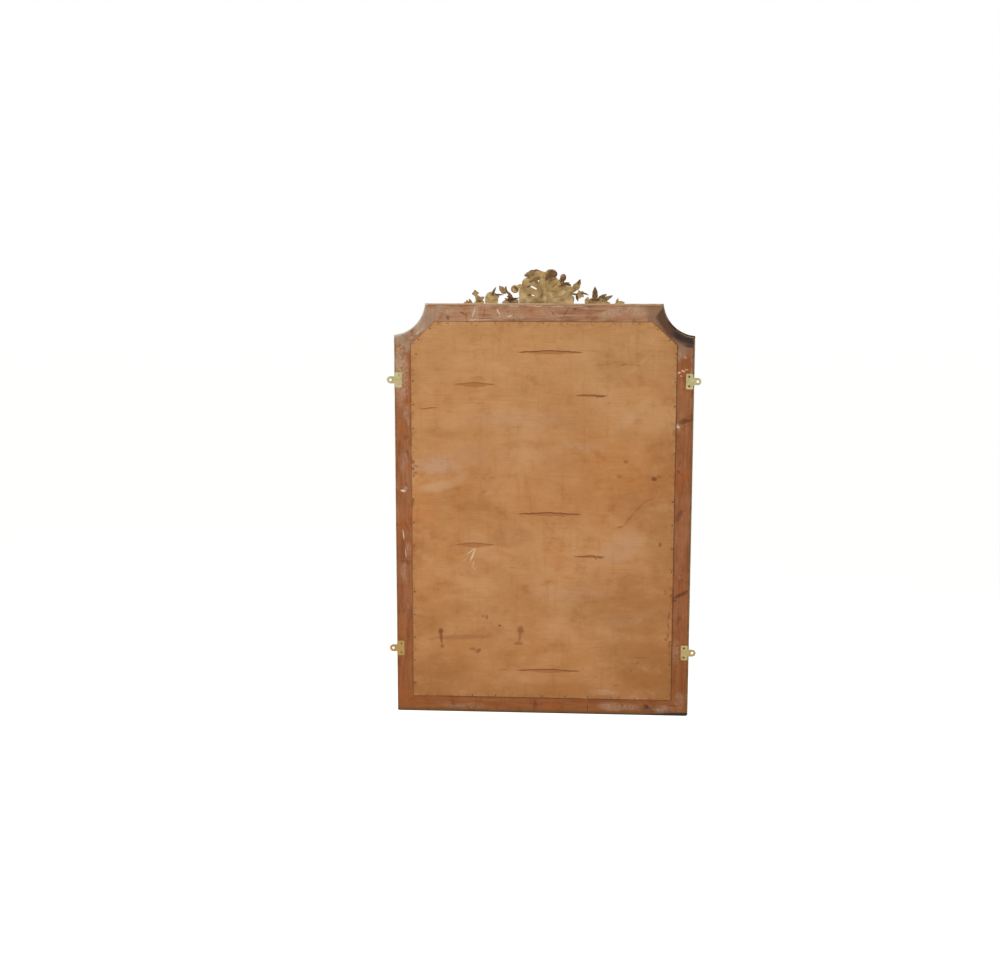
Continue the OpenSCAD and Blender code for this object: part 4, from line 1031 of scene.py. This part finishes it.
def carve_brow():
    """The long leaf that sweeps over the cartouche, with two curls behind."""
    carving = Carving()
    carving.leaf((2, 108), 16, 74, 26, -42, rise=10, curl=2, stalk=0.6, lobes=4, stain=0.25)
    carving.leaf((6, 94), 8, 52, 14, -20, rise=7)
    carving.back_leaf((36, 108), -8, 36, 13, -16, rise=6, lobes=2, stain=0.5, tip_stain=0.95)
    carving.back_leaf((14, 96), -30, 28, 9, 20, rise=5, lobes=1, stain=0.6)
    carving.finish("carved_brow", ["crest_brow_leaf"])


def carve_side_leaf():
    """The leaf that stands up beside the crown and ends in a curl."""
    carving = Carving()
    carving.leaf((-61, 66), 100, 44, 22, 12, rise=9, curl=2, stalk=0.5, lobes=2, tip_stain=0.4)
    carving.boss(
        (-70, 94),
        lambda a: 11 + 2.5 * sine(a - 8) ** 2,
        lambda a, s: WALL + 1 + 5 * (1 - 0.8 * s * s) + math.cos(6 * s + math.radians(a)),
        around=48, hollow=curled(6), stain=0.3
    )
    carving.back_leaf((-64, 78), 104, 26, 11, 20, rise=5, stalk=0.8, lobes=1, stain=0.75)
    carving.finish("carved_side_leaf", ["crest_side_leaf"])


def carve_horn():
    """The leaf that points out and up like a horn."""
    carving = Carving()
    carving.leaf((-97, 45), 155, 58, 27, -50, rise=10, curl=2, stalk=0.9, lobes=3, tip_stain=0.35)
    carving.leaf((-100, 65), 20, 26, 10, -16, rise=6, lobes=2, stain=0.6)
    carving.back_leaf((-63, 70), 172, 32, 10, -6, rise=5, stalk=0.7, lobes=1, stain=0.9)
    carving.back_leaf((-124, 70), 112, 18, 6, -10, STRIP_BACK + 14, rise=4, stalk=0.8, lobes=1, stain=0.8)
    carving.finish("carved_horn", ["crest_horn_leaf"])


def carve_ball():
    """The ball scroll on its short arm."""
    carving = Carving()
    carving.boss(
        (108, 52), lambda a: 15,
        lambda a, s: WALL + 1 + 8 * dome(s, 0.96) + 1.2 * math.cos(9 * s + math.radians(a)),
        around=48, hollow=lambda a, s: max(cosine(a - 235), 0) * s ** 2
    )
    carving.leaf((78, 64), -4, 26, 15, -14, rise=7, stalk=0.9, lobes=1)
    carving.back_leaf((112, 60), -160, 26, 7, 70, CARTOUCHE_FACE, rise=4, stalk=0.9, lobes=1, stain=0.7)
    carving.finish("carved_ball", ["crest_ball_scroll"])


def carve_stems():
    """The low leaf bed on the right, with the stems that rise from it."""
    carving = Carving(STRIP_FACE)
    carving.leaf((93.5, 3), 0, 62, 39, rise=9, stalk=0.6, lobes=4, stain=0.25)
    carving.leaf((142, 62), -95, 66, 5.5, -70, rise=6.5, stalk=1, lobes=1, stain=0.75)
    carving.leaf((140, 36), 42, 38, 24, 10, rise=7, lobes=2, stain=0.2)
    carving.leaf((116, 10), 66, 40, 14, -12, rise=6, lobes=1, stain=0.7)
    carving.leaf((136, 26), 214, 52, 6, -60, rise=4, stalk=1, lobes=1, stain=0.9, way=-1)
    carving.leaf((118, 8), 14, 30, 8, 16, rise=4, stalk=0.8, lobes=1, stain=0.8, way=-1)
    carving.finish("carved_stems", ["crest_stems_right"])


def carve_fan():
    """The ribbed fan and its dark leaves."""
    carving = Carving(STRIP_FACE)
    ribs = scallop(4.5)
    carving.boss(
        (194, 6),
        lambda a: (24 + 12 * sine(a) ** 2 if a < 180 else 24 - 4 * sine(-a)) + ribs(a),
        lambda a, s: WALL + 1.5 + 6 * (1 - s * s) + (2 * s * ribs(a) if a < 180 else 0),
        around=90, hollow=lambda a, s: min(1.0, (1 - ribs(a)) ** 2 * s)
    )
    carving.leaf((191, 28), 102, 34, 9, 24, rise=8, curl=2, stalk=0.9, lobes=1, stain=0.6, tip_stain=0.95)
    carving.leaf((184, 12), 134, 27, 13, 8, rise=6, stalk=0.6, lobes=1, stain=0.1)
    carving.leaf((182, 33), 188, 32, 5.5, -10, rise=6, stalk=1, lobes=1, stain=0.9)
    carving.finish("carved_fan", ["crest_fan_leaf"])


def carve_lobed_leaf():
    """The lobed leaf beyond the fan, with its bud."""
    carving = Carving(STRIP_FACE)
    carving.leaf((221, -3), 4, 40, 36, rise=8, stalk=0.6, lobes=3)
    carving.leaf((229, 0), 44, 40, 26, 20, rise=9, stalk=0.8, lobes=3)
    carving.boss(
        (254, 36), lambda a: 11 + 2 * cosine(4 * a + 30),
        lambda a, s: WALL + 1 + 5 * (1 - s * s), around=48
    )
    carving.leaf((244, 6), 132, 30, 17, 26, rise=6, lobes=2, stain=0.25)
    carving.finish("carved_lobed_leaf", ["crest_lobed_leaf"])


def carve_end_leaf(name, node, leaves):
    """The small leaves that end the crest. Each gives its foot, heading, length, width, bend and rise."""
    carving = Carving(STRIP_FACE)
    for at, heading, length, width, bend, rise in leaves:
        carving.leaf(at, heading, length, width, bend, rise=rise, stalk=0.5, lobes=2, stain=0.1)
    carving.finish(name, [node])


def carve_flower():
    """The five-petalled flower on its stem."""
    carving = Carving()
    carving.boss(
        (-133, 33), lambda a: 13.5 + 2.5 * cosine(5 * a + 20),
        lambda a, s: WALL + (6 if s < 0.3 else 2 + 4 * (1 - 0.6 * s)) - 1.0 * abs(sine(2.5 * a + 10)) * s,
        around=80, hollow=lambda a, s: 1.0 if 0.28 < s < 0.42 else 0.6 * abs(sine(2.5 * a + 10)) ** 6 * s
    )
    carving.leaf((-124, 33), 2, 25, 7, rise=5, stalk=0.9, lobes=1, stain=0.5)
    carving.leaf((-118, 30), -112, 24, 9, 8, rise=6, lobes=1, stain=0.7)
    carving.leaf((-138, 37), 176, 27, 6, 40, rise=6, stalk=1, lobes=1, stain=0.8)
    carving.finish("carved_flower", ["crest_flower"])


def carve_leaf_bed():
    """The low leaf bed on the left, with three dark leaves that stand up from it."""
    carving = Carving(STRIP_FACE)
    carving.leaf((-150, 2), 180, 94, 41, rise=9, stalk=0.6, lobes=5, stain=0.1)
    carving.leaf((-156, 0), 104, 25, 19, rise=6, stalk=0.5, lobes=2)
    carving.leaf((-187, 10), 92, 51, 23, -4, rise=8, curl=2, stalk=1, lobes=2, stain=0.7, tip_stain=0.9)
    carving.leaf((-197, 12), 142, 40, 17, 10, rise=7, curl=2, lobes=2, stain=0.6, tip_stain=0.8)
    carving.leaf((-212, 8), 150, 46, 16, 6, rise=6, curl=2, lobes=3, stain=0.5, tip_stain=0.75)
    carving.finish("carved_leaf_bed", ["crest_leaf_bed_left"])


def carve_petals(carving, at, size, lift, turn):
    """A row of five cupped petals."""
    def petal(angle):
        return abs(cosine(2.5 * (angle + turn)))

    carving.boss(
        at, lambda a: size * (0.80 + 0.20 * petal(a)),
        lambda a, s: WALL + 1 + lift + 4 * s * (0.6 + 0.4 * petal(a)),
        around=80, hollow=lambda a, s: min(1.0, (1 - petal(a)) ** 2 + 0.7 * (1 - s) ** 2)
    )


def carve_rose(name, node, x):
    """Two rows of petals round a raised heart."""
    carving = Carving()
    at = (x, -9)
    carve_petals(carving, at, 19, 0, 0)
    carve_petals(carving, at, 12.5, 3, 36)
    carving.boss(at, lambda a: 4.5, lambda a, s: 9 + 3 * dome(s), around=24, rings=5)
    carving.finish(name, [node])


# The cartouche's outline, from its lower left by the foot to the right and over the top
CARTOUCHE_RIM = [
    (-110, -28), (-102, -40), (-86, -50), (-62, -58), (-32, -64), (-4, -66), (26, -63), (54, -56),
    (78, -46), (92, -30), (92, 0), (91, 22), (93, 40), (90, 58), (81, 69), (81, 81), (74, 89), (62, 96),
    (54, 104), (43, 107), (36, 114), (25, 118), (10, 116), (-8, 115), (-22, 112), (-36, 103), (-49, 91),
    (-57, 82), (-63, 69), (-80, 68), (-96, 64), (-106, 59), (-114, 49), (-105, 38), (-102, 31),
    (-111, 24), (-112, 14), (-109, 0)
]
# Slots through it: from, to and width
CARTOUCHE_SLOTS = [((47, 62), (29, 53), 5.5), ((45, 31), (35, 28), 4), ((20, 82), (20, 82), 6)]
# Where its halves meet, and half the gap of the glued seam
SEAM_X = 1.5
SEAM_HALF = 0.05
# Where its gouged rays start, how far from there they are full, and how many a full turn would hold
RAY_FOOT = (-8, -20)
RAY_GROWTH = 60
BACK_RAYS = 13
FRONT_FLUTES = 24
# The plain rim left round the fluted front
FRONT_RIM = 4.5


def slot_outline(start, end, width):
    """A slot with round ends."""
    across = math.atan2(end[1] - start[1], end[0] - start[0]) + math.pi / 2
    points = []
    for (x, height), first in ((start, across), (end, across + math.pi)):
        for step in range(7):
            angle = first + math.pi * step / 6
            points.append((x + width / 2 * math.cos(angle), height + width / 2 * math.sin(angle)))
    return points


def flat_board(outlines, thickness, rounding):
    """A board with rounded edges that lies in the XY plane. The outlines after the first are holes."""
    curve = bpy.data.curves.new("board_outline", "CURVE")
    curve.dimensions = "2D"
    curve.fill_mode = "BOTH"
    curve.extrude = (thickness / 2 - rounding) * MM
    curve.bevel_depth = rounding * MM
    curve.bevel_resolution = 2
    curve.offset = -rounding * MM
    for points in outlines:
        spline = curve.splines.new("POLY")
        spline.points.add(len(points) - 1)
        for point, (x, height) in zip(spline.points, points):
            point.co = (x * MM, height * MM, 0, 1)
        spline.use_cyclic_u = True
    return mesh_shown_by(add_object("board_outline", curve))


def remeshed(mesh, voxel):
    """The same form in even small faces."""
    holder = add_object("rough_form", mesh)
    grid = holder.modifiers.new("even", "REMESH")
    grid.mode = "VOXEL"
    grid.voxel_size = voxel * MM
    return mesh_shown_by(holder)


def inside_rim(x, height):
    """Distance from a place on the cartouche to its outline, in mm."""
    place = Vector((x, height))
    nearest = 1000.0
    for start, end in zip(CARTOUCHE_RIM, CARTOUCHE_RIM[1:] + CARTOUCHE_RIM[:1]):
        on_edge, share = intersect_point_line(place, start, end)
        on_edge = Vector(start) if share < 0 else Vector(end) if share > 1 else on_edge.to_2d()
        nearest = min(nearest, (place - on_edge).length)
    return nearest


def carve_cartouche():
    """The pierced board behind the shell, in two glued halves, gouged in rays from its foot."""
    slots = [slot_outline(*slot) for slot in CARTOUCHE_SLOTS]
    board = remeshed(flat_board([CARTOUCHE_RIM] + slots, CARTOUCHE_FACE - STRIP_BACK, 2.0), 1.8)
    middle = (CARTOUCHE_FACE + STRIP_BACK) / 2
    for name, node, side in (
        ("carved_cartouche_left", "crest_cartouche_left", -1),
        ("carved_cartouche_right", "crest_cartouche_right", 1)
    ):
        carving = Carving()
        shape = carving.shape
        shape.from_mesh(board)
        plane = Vector(((SEAM_X + SEAM_HALF * side) * MM, 0, 0))
        cut = bmesh.ops.bisect_plane(
            shape, geom=shape.verts[:] + shape.edges[:] + shape.faces[:], plane_co=plane,
            plane_no=(-side, 0, 0), clear_outer=True
        )
        rim = [item for item in cut["geom_cut"] if isinstance(item, bmesh.types.BMEdge)]
        bmesh.ops.holes_fill(shape, edges=rim, sides=0)
        for vert in shape.verts:
            x, height, lift = vert.co.x / MM, vert.co.y / MM, vert.co.z / MM
            across, up = x - RAY_FOOT[0], height - RAY_FOOT[1]
            ray = math.atan2(up, across)
            growth = min(math.hypot(across, up) / RAY_GROWTH, 1)
            rays = 0.5 + 0.5 * math.cos(ray * BACK_RAYS)
            lumps = noise.noise(Vector((x, height, 3)) * 0.045)
            back = max(0.0, -lift / 6)
            gouge = back * growth * (1.3 * (1 - rays) + 1.6 * max(lumps, 0))
            hollow = back * min(1.0, 0.55 * (1 - rays) * growth + 0.9 * max(lumps, 0))
            if lift > 1:
                sunk = min(max((inside_rim(x, height) - FRONT_RIM) / 3, 0), 1)
                flute = 0.5 - 0.5 * math.cos(ray * FRONT_FLUTES)
                gouge = -sunk * (1.2 + 1.3 * flute) * min(lift / 5, 1)
                hollow = max(0.8 * (1 - abs(2 * sunk - 1)), 0.5 * flute * sunk)
            depth = middle + lift + min(gouge, 3.2)
            carving.place(vert, x, height, depth, hollow)
        bmesh.ops.recalc_face_normals(shape, faces=shape.faces[:])
        carving.finish(name, [node], "cartouche", "crest_wood", wall=0, smooth=0)


# Strings of pearls on the slips: their size and spacing, how deep they sit, and how far in from the edge
PEARL_RADIUS = 3.9
PEARL_PITCH = 8.6
PEARL_SUNK = 2.0
PEARL_IN = 92.0


def pearl_line():
    """The line of the pearls round the glass, from the lower right corner and back to it, in metres."""
    half = HALF_WIDTH - PEARL_IN * MM
    low, high = BOTTOM + PEARL_IN * MM, TOP - PEARL_IN * MM
    centre_x, centre_z = HALF_WIDTH + SCOOP_OUT, TOP + SCOOP_OUT
    radius = SCOOP_RADIUS + PEARL_IN * MM
    begin = math.atan2(-math.sqrt(radius ** 2 - (centre_x - half) ** 2), half - centre_x)
    end = math.atan2(high - centre_z, -math.sqrt(radius ** 2 - (centre_z - high) ** 2))
    steps = 40
    right = [(half, low)]
    for step in range(steps + 1):
        angle = begin + (end - begin) * step / steps
        right.append((centre_x + radius * math.cos(angle), centre_z + radius * math.sin(angle)))
    left = [(-x, z) for x, z in reversed(right)]
    return right + left + [(half, low)]


def string_pearls():
    """Sets pearls at an even pitch all along their line."""
    shape = bmesh.new()
    line = pearl_line()
    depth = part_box("slip_right")[0].y + PEARL_SUNK * MM
    lengths = [math.dist(start, end) for start, end in zip(line, line[1:])]
    total = sum(lengths)
    count = round(total / (PEARL_PITCH * MM))
    stretch, passed = 0, 0.0
    for index in range(count):
        travel = total * index / count
        while travel > passed + lengths[stretch]:
            passed += lengths[stretch]
            stretch += 1
        share = (travel - passed) / lengths[stretch]
        start, end = line[stretch], line[stretch + 1]
        at = Vector((start[0] + (end[0] - start[0]) * share, depth, start[1] + (end[1] - start[1]) * share))
        move = Matrix.Translation(at)
        bmesh.ops.create_icosphere(shape, subdivisions=2, radius=PEARL_RADIUS * MM, matrix=move)
    make_piece("pearl_strings", shape, "pearls")


def build_crest():
    """Carves every piece of the crest."""
    for carve in (
        carve_cartouche, carve_shell, carve_pendant, carve_crown, carve_brow, carve_side_leaf,
        carve_horn, carve_ball, carve_stems, carve_fan, carve_lobed_leaf
    ):
        carve()
    carve_end_leaf("carved_end_leaf_right", "crest_end_leaf_right", (
        ((262, -4), 14, 36, 20, -10, 7), ((268, 0), 58, 19, 10, 0, 6), ((281, 0), 64, 14, 9, 0, 6)
    ))
    carve_flower()
    carve_leaf_bed()
    carve_end_leaf("carved_end_leaf_left", "crest_end_leaf_left", (
        ((-261, -4), 166, 37, 22, 4, 7), ((-266, 0), 108, 21, 10, 0, 6)
    ))
    carve_rose("carved_rose_left", "crest_rose_left", -90)
    carve_rose("carved_rose_right", "crest_rose_right", 71)


def studio_rays(nodes, links):
    """1 for rays that should see the plain white background, 0 for the rest."""
    path = nodes.new("ShaderNodeLightPath")
    first = nodes.new("ShaderNodeMath")
    first.operation = "MAXIMUM"
    links.new(path.outputs["Is Camera Ray"], first.inputs[0])
    links.new(path.outputs["Is Glossy Ray"], first.inputs[1])
    both = nodes.new("ShaderNodeMath")
    both.operation = "MAXIMUM"
    links.new(first.outputs[0], both.inputs[0])
    links.new(path.outputs["Is Transmission Ray"], both.inputs[1])
    return both.outputs[0]


def build_world():
    """Soft even light, and a white background for the camera."""
    world = bpy.data.worlds.new("studio")
    world.use_nodes = True
    nodes, links = world.node_tree.nodes, world.node_tree.links
    soft = nodes["Background"]
    soft.inputs["Color"].default_value = (1.0, 0.985, 0.965, 1)
    soft.inputs["Strength"].default_value = SOFT_LIGHT
    white = nodes.new("ShaderNodeBackground")
    white.inputs["Strength"].default_value = 1.0
    white.inputs["Color"].default_value = (1, 1, 1, 1)
    mix = nodes.new("ShaderNodeMixShader")
    links.new(studio_rays(nodes, links), mix.inputs[0])
    links.new(soft.outputs[0], mix.inputs[1])
    links.new(white.outputs[0], mix.inputs[2])
    links.new(mix.outputs[0], nodes["World Output"].inputs["Surface"])
    bpy.context.scene.world = world


def build_floor():
    """A pale floor that keeps the mirror's shadow."""
    material = bpy.data.materials.new("studio_floor")
    material.use_nodes = True
    nodes, links = material.node_tree.nodes, material.node_tree.links
    shader = nodes["Principled BSDF"]
    shader.inputs["Base Color"].default_value = (0.82, 0.82, 0.82, 1)
    shader.inputs["Roughness"].default_value = 0.9
    glow = nodes.new("ShaderNodeEmission")
    links.new(studio_rays(nodes, links), glow.inputs["Strength"])
    glow.inputs["Color"].default_value = FLOOR_GLOW
    both = nodes.new("ShaderNodeAddShader")
    links.new(shader.outputs[0], both.inputs[0])
    links.new(glow.outputs[0], both.inputs[1])
    links.new(both.outputs[0], nodes["Material Output"].inputs["Surface"])
    shape = bmesh.new()
    level = Matrix.Translation((0, 0, BOTTOM - FLOOR_DROP))
    bmesh.ops.create_grid(shape, x_segments=1, y_segments=1, size=FLOOR_REACH, matrix=level)
    floor = add_object("floor", mesh_from("floor", shape, material))


def soft_lamp(name, at, size, power, glints):
    """A square lamp that looks at the middle of the mirror, with or without glints of its own."""
    lamp = bpy.data.lights.new(name, "AREA")
    lamp.size = size
    lamp.energy = power
    holder = add_object(name, lamp)
    holder.location = at
    holder.rotation_euler = (-Vector(at)).to_track_quat("-Z", "Y").to_euler()
    holder.visible_glossy = glints


def place_camera():
    """The camera stands where the photograph was taken from."""
    lens = bpy.data.cameras.new("camera")
    lens.sensor_width = 36
    lens.lens = CAMERA_LENS
    lens.clip_end = 200
    camera = add_object("camera", lens)
    camera.location = CAMERA_AT
    camera.rotation_euler = [math.radians(angle) for angle in CAMERA_TURN]
    bpy.context.scene.camera = camera


place_camera()
build_world()
build_floor()
for lamp_values in LAMPS:
    soft_lamp(*lamp_values)
dress_frame()
build_crest()
string_pearls()

bpy.context.scene.view_settings.view_transform = "Standard"
bpy.context.view_layer.update()
